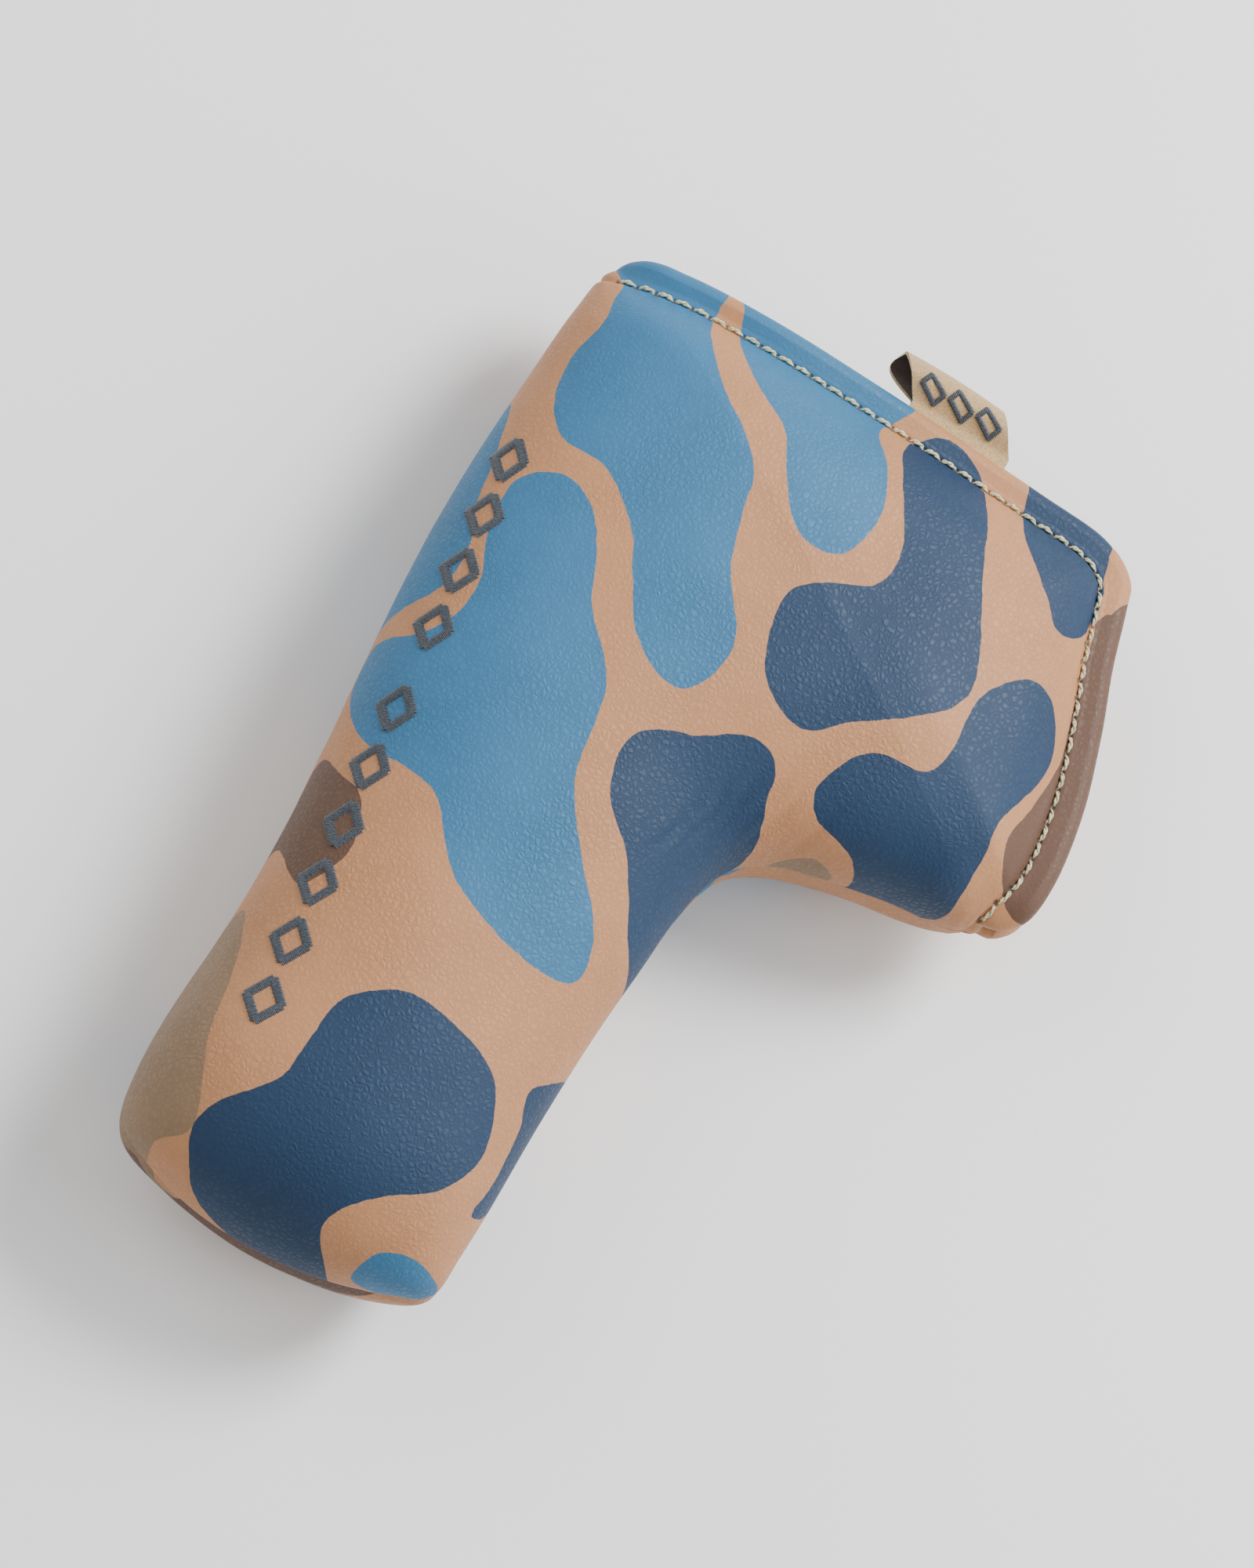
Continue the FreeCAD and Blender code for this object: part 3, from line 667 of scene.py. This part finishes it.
class Finish:
    """A node material, built up call by call."""

    def __init__(self, name, roughness=0.6):
        self.material = bpy.data.materials.new(name)
        self.material.use_nodes = True
        self.nodes = self.material.node_tree.nodes
        self.nodes.clear()
        self.shader = self.nodes.new("ShaderNodeBsdfPrincipled")
        self.shader.inputs["Roughness"].default_value = roughness
        output = self.nodes.new("ShaderNodeOutputMaterial")
        self.link(self.shader.outputs[0], output.inputs[0])

    def link(self, source, target):
        self.material.node_tree.links.new(source, target)

    def give(self, socket, value):
        """Set a socket to a constant, or link it."""
        if isinstance(value, bpy.types.NodeSocket):
            self.link(value, socket)
        else:
            socket.default_value = value

    def attribute(self, name, vector=False):
        node = self.nodes.new("ShaderNodeAttribute")
        node.attribute_name = name
        return node.outputs["Vector" if vector else "Fac"]

    def math(self, operation, a, b=0.0, c=0.0):
        node = self.nodes.new("ShaderNodeMath")
        node.operation = operation
        for socket, value in zip(node.inputs, (a, b, c)):
            self.give(socket, value)
        return node.outputs[0]

    def scaled(self, vector, scale):
        node = self.nodes.new("ShaderNodeVectorMath")
        node.operation = "MULTIPLY"
        self.give(node.inputs[0], vector)
        node.inputs[1].default_value = scale
        return node.outputs[0]

    def noise(self, vector, scale, detail=3.0):
        node = self.nodes.new("ShaderNodeTexNoise")
        self.give(node.inputs["Vector"], vector)
        node.inputs["Scale"].default_value = scale
        node.inputs["Detail"].default_value = detail
        return node.outputs["Fac"]

    def cells(self, vector, scale, feature="DISTANCE_TO_EDGE", random=1.0):
        node = self.nodes.new("ShaderNodeTexVoronoi")
        node.feature = feature
        self.give(node.inputs["Vector"], vector)
        node.inputs["Scale"].default_value = scale
        node.inputs["Randomness"].default_value = random
        return node.outputs["Distance"]

    def remap(self, value, low, high, to_low=0.0, to_high=1.0, kind="SMOOTHSTEP"):
        node = self.nodes.new("ShaderNodeMapRange")
        node.interpolation_type = kind
        self.give(node.inputs["Value"], value)
        for name, number in (("From Min", low), ("From Max", high), ("To Min", to_low), ("To Max", to_high)):
            node.inputs[name].default_value = number
        return node.outputs[0]

    def mix(self, factor, a, b, kind="MIX"):
        node = self.nodes.new("ShaderNodeMix")
        node.data_type = "RGBA"
        node.blend_type = kind
        self.give(node.inputs["Factor"], factor)
        self.give(node.inputs[6], a)
        self.give(node.inputs[7], b)
        return node.outputs[2]

    def bump(self, height, distance, strength=1.0, under=None):
        node = self.nodes.new("ShaderNodeBump")
        node.inputs["Distance"].default_value = distance
        self.give(node.inputs["Strength"], strength)
        self.give(node.inputs["Height"], height)
        if under is not None:
            self.link(under, node.inputs["Normal"])
        return node.outputs[0]


TAN = srgb(178, 126, 86)
LIGHT_BLUE = srgb(47, 105, 144)
DARK_BLUE = srgb(22, 50, 79)
BROWN = srgb(92, 66, 51)
OLIVE = srgb(132, 107, 81)


def printed_leather():
    f = Finish("printed_leather", 0.5)
    rest = f.attribute("rest", vector=True)
    edge_noise = f.math("MULTIPLY_ADD", f.noise(rest, 420.0, 2.0), 0.5, -0.25)
    colour = TAN
    inks = (("olive", OLIVE), ("brown", BROWN), ("light", LIGHT_BLUE), ("dark", DARK_BLUE))
    for name, paint_colour in inks:
        depth = f.math("ADD", f.attribute(name), edge_noise)
        colour = f.mix(f.remap(depth, -0.07, 0.07), colour, paint_colour)

    wander = f.nodes.new("ShaderNodeTexNoise")
    f.link(rest, wander.inputs["Vector"])
    wander.inputs["Scale"].default_value = 500.0
    bent = f.nodes.new("ShaderNodeVectorMath")
    bent.operation = "MULTIPLY_ADD"
    f.link(wander.outputs["Color"], bent.inputs[0])
    bent.inputs[1].default_value = (0.0013, 0.0013, 0.0013)
    f.link(rest, bent.inputs[2])
    cell = f.cells(bent.outputs[0], 980.0)
    fine = f.cells(bent.outputs[0], 2400.0)
    valley = f.remap(cell, 0.0, 0.42)
    crease = f.remap(fine, 0.0, 0.3)
    broad = f.noise(rest, 45.0, 2.0)
    grain = f.math("MULTIPLY", f.attribute("grain"), f.remap(broad, 0.3, 0.75, 0.45, 1.0))
    # painted shade: the cell edges, the valleys of the grain bump, are darkened a little
    lines = f.math("MULTIPLY", grain, f.remap(cell, 0.0, 0.14, 0.16, 0.0))
    colour = f.mix(lines, colour, (0.10, 0.09, 0.09, 1), "MULTIPLY")
    mottle = f.remap(f.noise(rest, 300.0, 4.0), 0.3, 0.7, 0.0, 0.12)
    colour = f.mix(mottle, colour, (0.6, 0.58, 0.56, 1), "MULTIPLY")
    colour = f.mix(f.remap(broad, 0.35, 0.7, 0.0, 0.12), colour, (0.55, 0.5, 0.47, 1), "MULTIPLY")

    # needle holes along the topstitch: a dip in the bump, and painted shade that darkens each hole almost to
    # black
    turn = f.math("FRACT", f.math("DIVIDE", f.attribute("seam"), STITCH_PITCH))
    run_gap = f.math("MULTIPLY", f.math("MINIMUM", turn, f.math("SUBTRACT", 1.0, turn)), STITCH_PITCH)
    side_gap = f.math("SUBTRACT", f.attribute("mouth"), HEM)
    gap = f.math("SQRT", f.math("ADD", f.math("MULTIPLY", run_gap, run_gap),
                                f.math("MULTIPLY", side_gap, side_gap)))
    hole = f.remap(gap, 0.2, 0.6, 1.0, 0.0)
    # painted shade in the needle holes
    colour = f.mix(f.math("MULTIPLY", hole, 0.8), colour, (0.05, 0.035, 0.025, 1))
    f.give(f.shader.inputs["Base Color"], colour)
    f.give(f.shader.inputs["Roughness"], f.remap(valley, 0.0, 1.0, 0.64, 0.5))
    f.shader.inputs["Specular IOR Level"].default_value = 0.36
    height = f.math("ADD", f.math("MULTIPLY", valley, 0.8), f.math("MULTIPLY", crease, 0.2))
    height = f.math("ADD", f.math("MULTIPLY", height, grain), f.math("MULTIPLY", hole, -2.5))
    pores = f.bump(f.noise(rest, 5200.0, 2.0), 0.00004, 0.5)
    f.give(f.shader.inputs["Normal"], f.bump(height, 0.00012, 0.8, pores))
    return f.material


def woven(name, colour, shade, scale, roughness=0.85, sheen=0.2):
    """Thread or cloth: fine fibres with a little light and dark."""
    f = Finish(name, roughness)
    rest = f.attribute("rest", vector=True)
    strands = f.noise(f.scaled(rest, scale), 1.0, 3.0)
    f.give(f.shader.inputs["Base Color"], f.mix(f.remap(strands, 0.3, 0.7), shade, colour))
    f.shader.inputs["Sheen Weight"].default_value = sheen
    f.give(f.shader.inputs["Normal"], f.bump(strands, 0.00006, 0.8))
    return f.material


def ribbon_cloth(name, colour, shade):
    """Tightly woven ribbon: crossing ribs along its width and its length."""
    f = Finish(name, 0.62)
    weave = f.attribute("weave", vector=True)
    parts = f.nodes.new("ShaderNodeSeparateXYZ")
    f.link(weave, parts.inputs[0])
    across = f.math("SINE", f.math("MULTIPLY", parts.outputs[0], 2 * math.pi / 0.42))
    down = f.math("SINE", f.math("MULTIPLY", parts.outputs[1], 2 * math.pi / 0.34))
    height = f.math("MULTIPLY", across, down)
    fuzz = f.noise(f.attribute("rest", vector=True), 3500.0, 3.0)
    tone = f.math("ADD", f.remap(height, -1, 1, 0.0, 0.45), f.remap(fuzz, 0.3, 0.7, 0.0, 0.5))
    f.give(f.shader.inputs["Base Color"], f.mix(tone, shade, colour))
    f.shader.inputs["Sheen Weight"].default_value = 0.25
    f.give(f.shader.inputs["Normal"], f.bump(f.math("ADD", height, fuzz), 0.00005, 0.7))
    return f.material


def plush(name, colour, shade):
    """Short brushed pile of the lining."""
    f = Finish(name, 0.95)
    rest = f.attribute("rest", vector=True)
    tufts = f.cells(rest, 1500.0, "F1")
    f.give(f.shader.inputs["Base Color"], f.mix(f.remap(tufts, 0.1, 0.8), colour, shade))
    f.shader.inputs["Sheen Weight"].default_value = 0.3
    f.shader.inputs["Sheen Roughness"].default_value = 0.5
    under = f.bump(f.noise(rest, 260.0, 3.0), 0.0004, 0.5)
    f.give(f.shader.inputs["Normal"], f.bump(f.math("SUBTRACT", 1.0, tufts), 0.0002, 0.8, under))
    return f.material


def plated_metal(name):
    f = Finish(name, 0.3)
    place = f.nodes.new("ShaderNodeTexCoord").outputs["Object"]
    scuffs = f.noise(place, 1800.0, 3.0)
    f.shader.inputs["Metallic"].default_value = 1.0
    f.give(f.shader.inputs["Base Color"], f.mix(scuffs, (0.5, 0.5, 0.5, 1), (0.72, 0.72, 0.7, 1)))
    f.give(f.shader.inputs["Roughness"], f.remap(scuffs, 0.3, 0.7, 0.22, 0.42))
    return f.material


LEATHER = printed_leather()
TOPSTITCH = woven("topstitch_thread", srgb(220, 216, 180), srgb(150, 148, 112), (2600, 2600, 2600))
FLOSS = woven("embroidery_thread", srgb(58, 70, 82), srgb(26, 32, 40), (3200, 3200, 3200), 0.5, 0.35)
RIBBON_FRONT = ribbon_cloth("ribbon_gold", srgb(214, 180, 128), srgb(150, 118, 76))
# the ribbon's inner face: a dark brown copy of the gold ribbon, painted shade inside the loop
RIBBON_INSIDE_SHADE = ribbon_cloth("ribbon_inside_painted_shade", srgb(74, 46, 32), srgb(34, 20, 14))
LINING_CLOTH = plush("lining_plush", srgb(52, 56, 66), srgb(20, 22, 28))
METAL = plated_metal("magnet_plating")


# ---------------------------------------------------------------- the padded leather panels
CREASE = Vector((*to_row([*crease_middle, 0])[:2], 0.0))


def bend_with_flap(piece):
    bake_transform(piece)


front_panel = panel_solid(1)
back_panel = panel_solid(-1)
front_chart, back_chart = charts(front_panel["outer"], back_panel["outer"])
front = make_mesh("front_cover", front_panel["points"], front_panel["faces"], [LEATHER])
back = make_mesh("back_cover", back_panel["points"], back_panel["faces"], [LEATHER], "root")
dress_panel(front, front_panel, front_chart)
dress_panel(back, back_panel, back_chart)
bend_with_flap(front)
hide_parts("front_leather", "flap_leather", "front_foam", "flap_foam", "flap_hem")
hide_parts("back_leather", "back_foam", "back_hem")


# ---------------------------------------------------------------- lining
def lining_solid(face):
    """Quilted lining of one panel: a closed sheet under the padding."""
    rows = np.concatenate([np.linspace(0.3, 3, 14), np.linspace(3, 17.1, 76)[1:]])
    columns = -np.cos(np.linspace(0, math.pi, 47))
    left, right = ends(rows)
    half = np.linalg.norm(right - left, axis=-1) / 2
    inset = LINING_INSET * smooth((rows - 9.8) / 1.6) + 0.01
    x = columns[None, :] * (1 - inset / half)[:, None]
    u = rows[:, None] + 0 * x
    points = outer_surface(u, x, face)[0]
    normals = grid_normals(points, face)
    quilt = 0.18 * np.sin(points[..., :1] / 2.6) * np.sin(points[..., 1:2] / 2.6)
    top = keep_side(points - normals * (LINING[0] + 0.15 + quilt), face)
    low = keep_side(points - normals * (LINING[1] + quilt), face)
    r, c = u.shape
    count = r * c
    faces = grid_faces(r, c, 0, face > 0) + grid_faces(r, c, count, face < 0)
    ring = [i * c for i in range(r)] + [(r - 1) * c + j for j in range(1, c)]
    ring += [i * c + c - 1 for i in range(r - 2, -1, -1)] + [j for j in range(c - 2, 0, -1)]
    for a, b in zip(ring, ring[1:] + ring[:1]):
        quad = (a, b, count + b, count + a)
        faces.append(quad if face > 0 else quad[::-1])
    area = np.linalg.norm(np.cross(low[1:, :-1] - low[:-1, :-1], low[:-1, 1:] - low[:-1, :-1]), axis=-1).sum()
    return np.concatenate([top.reshape(-1, 3), low.reshape(-1, 3)]), faces, area


for side, name in ((1, "front_lining"), (-1, "back_lining")):
    lining_points, lining_faces, lining_area = lining_solid(side)
    body = "root" if side < 0 else None
    lining = make_mesh("plush_" + name, lining_points, lining_faces, [LINING_CLOTH], body)
    paint(lining, rest=to_row(lining_points))
    if side > 0:
        bend_with_flap(lining)
        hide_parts("front_lining", "flap_lining")
    else:
        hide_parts("back_lining")


# ---------------------------------------------------------------- threads
def drop_on(panel, face):
    """Function that puts plan points on a panel's outer face, giving place and normal."""
    grid = panel["outer"]
    rows, columns = grid.shape[:2]
    tree = BVHTree.FromPolygons(grid.reshape(-1, 3).tolist(), grid_faces(rows, columns, 0, True))
    normals = panel["normals"].reshape(-1, 3)
    finder = KDTree(rows * columns)
    for index, point in enumerate(grid.reshape(-1, 3)):
        finder.insert(point, index)
    finder.balance()

    def drop(px, py):
        hit = tree.ray_cast(Vector((px, py, MID_Z + face * 60)), Vector((0, 0, -face)))[0]
        if hit is None:
            hit = tree.find_nearest(Vector((px, py, MID_Z + face * 5)))[0]
        near = finder.find_n(hit, 4)
        normal = sum((normals[index] / (gap + 0.2) for _, index, gap in near), np.zeros(3))
        return np.array(hit), normal / np.linalg.norm(normal)

    return drop


def tube(path, radii, sides):
    """Round closed tube along a path."""
    path = np.asarray(path)
    way = unit(np.gradient(path, axis=0))
    hint = np.array([0.31, 0.17, 0.93])
    a = unit(np.cross(way, hint))
    b = np.cross(way, a)
    turn = np.linspace(0, 2 * math.pi, sides, endpoint=False)
    ring = a[:, None] * np.cos(turn)[None, :, None] + b[:, None] * np.sin(turn)[None, :, None]
    points = path[:, None] + ring * np.asarray(radii)[:, None, None]
    faces = []
    for i in range(len(path) - 1):
        for k in range(sides):
            m = (k + 1) % sides
            faces.append((i * sides + k, i * sides + m, (i + 1) * sides + m, (i + 1) * sides + k))
    faces.append(tuple(range(sides))[::-1])
    faces.append(tuple((len(path) - 1) * sides + k for k in range(sides)))
    return points.reshape(-1, 3), faces


def gather(tubes):
    """One point list and face list from many tubes."""
    points, faces, total = [], [], 0
    for tube_points, tube_faces in tubes:
        points.append(tube_points)
        faces += [tuple(v + total for v in f) for f in tube_faces]
        total += len(tube_points)
    return np.concatenate(points), faces


def topstitches(panel, face):
    """Separate stitches of two-ply thread from hole to hole along the mouth."""
    drop = drop_on(panel, face)
    line, run = topstitch_line()
    stitches = []
    first = math.ceil(run[0] / STITCH_PITCH)
    for k in range(first, int(run[-1] / STITCH_PITCH)):
        middle = (k + 0.5) * STITCH_PITCH
        t = np.linspace(-0.5, 0.5, 11)
        places = middle + t * STITCH_LENGTH
        px = np.interp(places, run, line[:, 0])
        py = np.interp(places, run, line[:, 1])
        ground = [drop(a, b) for a, b in zip(px, py)]
        base = np.array([g[0] for g in ground])
        off_panel = abs(base[:, 0] - px).max() > 0.05
        if off_panel or fold_distance(base[[0, -1], :2]).min() < FOLD_CLEAR:
            continue
        normal = unit(np.array([g[1] for g in ground]))
        way = unit(base[-1] - base[0])
        chord = base[0] + (base[-1] - base[0]) * (t[:, None] + 0.5)
        base = chord + normal * ((base - chord) * normal).sum(-1).max()
        side = unit(np.cross(way, normal))
        arch = 0.62 * np.cos(t * math.pi) ** 0.6 - 0.32
        radii = PLY_R * (0.55 + 0.45 * np.cos(t * math.pi) ** 0.5)
        for ply in (0, math.pi):
            twist = t * 2.2 * math.pi + ply + k
            offset = normal * (arch + 0.17 * np.sin(twist))[:, None]
            offset += side * (0.19 * np.cos(twist))[:, None]
            stitches.append(tube(base + offset, radii, 7))
    return gather(stitches)


for panel, side, nodes in ((front_panel, 1, ("flap_topstitch",)), (back_panel, -1, ("back_topstitch",))):
    thread_points, thread_faces = topstitches(panel, side)
    name = "front_stitching" if side > 0 else "back_stitching"
    thread = make_mesh(name, thread_points, thread_faces, [TOPSTITCH], "root" if side < 0 else None)
    paint(thread, rest=to_row(thread_points))
    if side > 0:
        bend_with_flap(thread)
    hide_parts(*nodes)


def satin_bar(a, b, width, drop, pitch=0.27, lift=0.32):
    """Satin stitches laid side by side across a bar from a to b, in the plan."""
    a = np.array(a, float)
    b = np.array(b, float)
    way = unit(b - a)
    side = np.array([-way[1], way[0]])
    count = int(np.linalg.norm(b - a) / pitch)
    threads = []
    for k in range(count + 1):
        middle = a + (b - a) * k / count
        slant = way * 0.18
        t = np.linspace(-0.5, 0.5, 7)
        wide = width * (1 + 0.05 * math.sin(k * 2.4))
        ground = [drop(*(middle + (side * wide + slant) * s)) for s in t]
        base = np.array([g[0] for g in ground])
        normal = np.array([g[1] for g in ground])
        arch = lift * (1 - (2 * t) ** 4) - 0.12
        radii = FLOSS_R * np.array([0.6, 0.95, 1, 1, 1, 0.95, 0.6])
        threads.append(tube(base + normal * arch[:, None], radii, 6))
    return threads


def lozenge_threads(center, half_long, half_wide, width, drop, long_way, wide_way):
    """A lozenge of four satin bars."""
    center = np.array(center, float)
    corners = [center + long_way * half_long, center + wide_way * half_wide,
               center - long_way * half_long, center - wide_way * half_wide]
    threads = []
    for a, b in zip(corners, corners[1:] + corners[:1]):
        threads += satin_bar(a, b, width, drop)
    return threads


front_drop = drop_on(front_panel, 1)
chain = []
for k in range(MOTIF_COUNT):
    run = MOTIF_PITCH * k + (MOTIF_GAP if k >= MOTIF_FIRST else 0)
    place = (MOTIF_START[0] + MOTIF_LEAN * run, MOTIF_START[1] - run)
    foreshortening = max(front_drop(*place)[1][2], 0.5)
    chain += lozenge_threads(place, MOTIF_HALF[0], MOTIF_HALF[1] * foreshortening, MOTIF_BAR, front_drop,
                             unit(np.array([-MOTIF_LEAN, 1.0])), unit(np.array([1.0, MOTIF_LEAN])))
chain_points, chain_faces = gather(chain)
motif = make_mesh("sole_embroidery", chain_points, chain_faces, [FLOSS], "root")
paint(motif, rest=to_row(chain_points))
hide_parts("sole_motif")


# ---------------------------------------------------------------- ribbon tab
def tab_frame():
    """Middle of the ribbon's foot, the way along the mouth and the way out, in panel millimetres."""
    joint = next(j for j in frame["joints"] if j["name"] == "tab_flex")
    pivot = np.array(joint["pos_m"]) / MM + ORIGIN
    way = np.array(joint["axis"])
    return pivot, way / np.linalg.norm(way), np.cross((0, 0, 1), way)


TAB_PIVOT, TAB_WAY, TAB_OUT = tab_frame()
TAB_TUCK = 4.0            # how far the ribbon runs back under the lip
TAB_SHIFT = 0.9           # foot of the ribbon along the mouth from the middle of its width
TAB_LEAN = -0.74          # run of the ribbon along the mouth for each mm out


def tab_middle(s, w):
    """Middle surface of the ribbon: s runs from 0 at the front foot over the fold to 1, w from -1 to 1."""
    h = np.interp(s, (0, 0.5, 1), (-TAB_TUCK, TAB_REACH, -TAB_TUCK))
    share = np.clip(h / TAB_REACH, 0, 1)
    front = np.where(s < 0.5, 1, -1)
    round_end = np.sqrt(np.clip(1 - np.clip((share - 0.55) / 0.45, 0, 1) ** 2, 0, 1))
    rise = TAB_BULGE / 2 * smooth(share / 0.6) ** 0.8 * round_end
    z = front * (rise + 0.33 * (1 - smooth(share / 0.5)))
    lean = TAB_SHIFT + TAB_LEAN * np.maximum(h, 0)
    skew = np.where(s >= 0.5, -3.0 * np.sin(math.pi * np.clip(share, 0, 1)), 0) * (1 - w) / 2
    half = (TAB_X[1] - TAB_X[0]) / 2
    sag = -0.35 * (w ** 2) * np.maximum(h, 0) / TAB_REACH
    return (TAB_PIVOT + TAB_WAY * (w * half + lean + skew)[..., None] + TAB_OUT * (h + sag)[..., None]
            + np.array([0, 0, 1.0]) * z[..., None])


def ribbon():
    """The folded ribbon as a closed sheet, with its weave coordinates."""
    fold = np.linspace(0.36, 0.64, 40)
    s = np.concatenate([np.linspace(0, 0.36, 20), fold[1:], np.linspace(0.64, 1, 20)[1:]])
    w = np.linspace(-1, 1, 41)
    S, W = np.meshgrid(s, w, indexing="ij")
    middle = tab_middle(S, W)
    normal = unit(np.cross(np.gradient(middle, axis=1), np.gradient(middle, axis=0)))
    run = np.cumsum(np.append(0, np.linalg.norm(np.diff(middle[:, 20], axis=0), axis=-1)))
    rows, columns = S.shape
    outside = middle + normal * TAB_T / 2
    inside = middle - normal * TAB_T / 2
    count = rows * columns
    faces = grid_faces(rows, columns, 0, False) + grid_faces(rows, columns, count, True)
    # slot 1, the inner face of the loop, takes the painted shade of the ribbon's inside
    slots = [0] * ((rows - 1) * (columns - 1)) + [1] * ((rows - 1) * (columns - 1))
    ring = [i * columns for i in range(rows)] + [(rows - 1) * columns + j for j in range(1, columns)]
    ring += [i * columns + columns - 1 for i in range(rows - 2, -1, -1)]
    ring += [j for j in range(columns - 2, 0, -1)]
    for a, b in zip(ring, ring[1:] + ring[:1]):
        faces.append((b, a, count + a, count + b))
        slots.append(0)
    weave = np.stack([W * (TAB_X[1] - TAB_X[0]) / 2, run[:, None] + 0 * W, 0 * W], -1).reshape(-1, 3)
    points = np.concatenate([outside.reshape(-1, 3), inside.reshape(-1, 3)])
    length = run[-1]
    return points, faces, slots, np.concatenate([weave, weave]), outside[:40], normal[:40], length


ribbon_points, ribbon_faces, ribbon_slots, ribbon_weave, tab_front, tab_normals, ribbon_length = ribbon()
tab = make_mesh("ribbon_tab", ribbon_points, ribbon_faces, [RIBBON_FRONT, RIBBON_INSIDE_SHADE], slots=ribbon_slots)
paint(tab, rest=to_row(ribbon_points), weave=ribbon_weave)
foot_out = Vector(to_row(TAB_PIVOT))
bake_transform(tab)
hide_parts("tab_loop")


def drop_on_tab():
    """Function that puts (along, out) places on the front of the ribbon."""
    flat = tab_front.reshape(-1, 3) - TAB_PIVOT
    places = np.stack([flat @ TAB_WAY, flat @ TAB_OUT], -1)
    normals = tab_normals.reshape(-1, 3)

    def drop(a, b):
        gap = ((places - (a, b)) ** 2).sum(-1)
        near = np.argsort(gap)[:4]
        weight = 1 / (gap[near] + 0.01)
        weight /= weight.sum()
        spot = (flat[near] * weight[:, None]).sum(0)
        spot += TAB_WAY * (a - spot @ TAB_WAY) + TAB_OUT * (b - spot @ TAB_OUT)
        return spot + TAB_PIVOT, unit((normals[near] * weight[:, None]).sum(0))

    return drop


tab_drop = drop_on_tab()
marks = []
for k in (-1, 0, 1):
    marks += lozenge_threads((5.3 * k + TAB_SHIFT + TAB_LEAN * 2.9, 2.9), 2.1, 2.3, 0.9, tab_drop,
                             np.array([1.0, 0.0]), unit(np.array([TAB_LEAN, 1.0])))
mark_points, mark_faces = gather(marks)
mark = make_mesh("tab_embroidery", mark_points, mark_faces, [FLOSS], "tab")
paint(mark, rest=to_row(mark_points))
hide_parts("tab_motif")


def disc(center, normal, radius, thickness):
    """A round magnet with softened edges."""
    side = unit(np.cross(normal, (0.0, 1.0, 0.0)))
    other = np.cross(normal, side)
    turn = np.linspace(0, 2 * math.pi, 48, endpoint=False)
    ring = np.cos(turn)[:, None] * side + np.sin(turn)[:, None] * other
    half = thickness / 2
    profile = ((radius - 0.3, -half), (radius, 0.3 - half), (radius, half - 0.3), (radius - 0.3, half))
    points = np.concatenate([center + ring * r + normal * h for r, h in profile])
    n = len(turn)
    faces = [tuple(range(n))[::-1], tuple(range(3 * n, 4 * n))]
    for k in range(3):
        for i in range(n):
            m = (i + 1) % n
            faces.append((k * n + i, k * n + m, (k + 1) * n + m, (k + 1) * n + i))
    return points, faces


back_drop = drop_on(back_panel, -1)
for side, drop, piece in (("flap", front_drop, "flap"), ("back", back_drop, "root")):
    for number, place in enumerate(MAGNET_PLACES, 1):
        surface, normal = drop(*place)
        node_name = "%s_magnet_%d" % (side, number)
        magnet_points, magnet_faces = disc(surface - normal * MAGNET_DEPTH, normal, MAGNET_R, MAGNET_T)
        magnet = make_mesh(node_name + "_disc", magnet_points, magnet_faces, [METAL], piece)
        paint(magnet, rest=to_row(magnet_points))
        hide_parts(node_name)


# ---------------------------------------------------------------- floor, light, camera
def stage():
    bpy.ops.mesh.primitive_plane_add(size=8, location=(0, 0, -0.0004))
    floor = bpy.context.object
    floor.name = "floor"
    f = Finish("floor_paper", 0.85)
    place = f.nodes.new("ShaderNodeTexCoord").outputs["Object"]
    paper = f.mix(f.noise(place, 3.0), (0.9, 0.9, 0.9, 1), (0.93, 0.93, 0.93, 1))
    f.give(f.shader.inputs["Base Color"], paper)
    floor.data.materials.append(f.material)
    world = bpy.data.worlds.new("studio")
    world.use_nodes = True
    world.node_tree.nodes["Background"].inputs[0].default_value = (1, 1, 1, 1)
    world.node_tree.nodes["Background"].inputs[1].default_value = 0.6
    bpy.context.scene.world = world
    lamps = (("key", (0.5, 0.7, 0.85), 0.5, 23.0), ("fill", (-0.9, 0.1, 0.8), 0.9, 5.0),
             ("rim", (0.9, 0.1, 0.6), 0.5, 4.0))
    for name, place, size, power in lamps:
        data = bpy.data.lights.new(name, "AREA")
        data.size = size
        data.energy = power
        lamp = bpy.data.objects.new(name, data)
        lamp.location = place
        lamp.rotation_euler = (-Vector(place)).to_track_quat("-Z", "Y").to_euler()
        bpy.context.scene.collection.objects.link(lamp)


def camera():
    azimuth = math.radians(-12)
    elevation = math.radians(73.2)
    turn = math.radians(30.4)
    target = Vector((-0.0101, 0.0051, 0.021))
    distance = 1.1
    data = bpy.data.cameras.new("camera")
    data.lens = 157.8
    eye = bpy.data.objects.new("camera", data)
    bpy.context.scene.collection.objects.link(eye)
    back_way = Vector((math.sin(azimuth) * math.cos(elevation), -math.cos(azimuth) * math.cos(elevation),
                       math.sin(elevation)))
    x_axis = Vector((1, 0, 0))
    flat_x = (x_axis - back_way * x_axis.dot(back_way)).normalized()
    flat_y = back_way.cross(flat_x)
    right = flat_x * math.cos(turn) + flat_y * math.sin(turn)
    up = back_way.cross(right)
    matrix = Matrix((right, up, back_way)).transposed().to_4x4()
    matrix.translation = target + back_way * distance
    eye.matrix_world = matrix
    bpy.context.scene.camera = eye


stage()
camera()
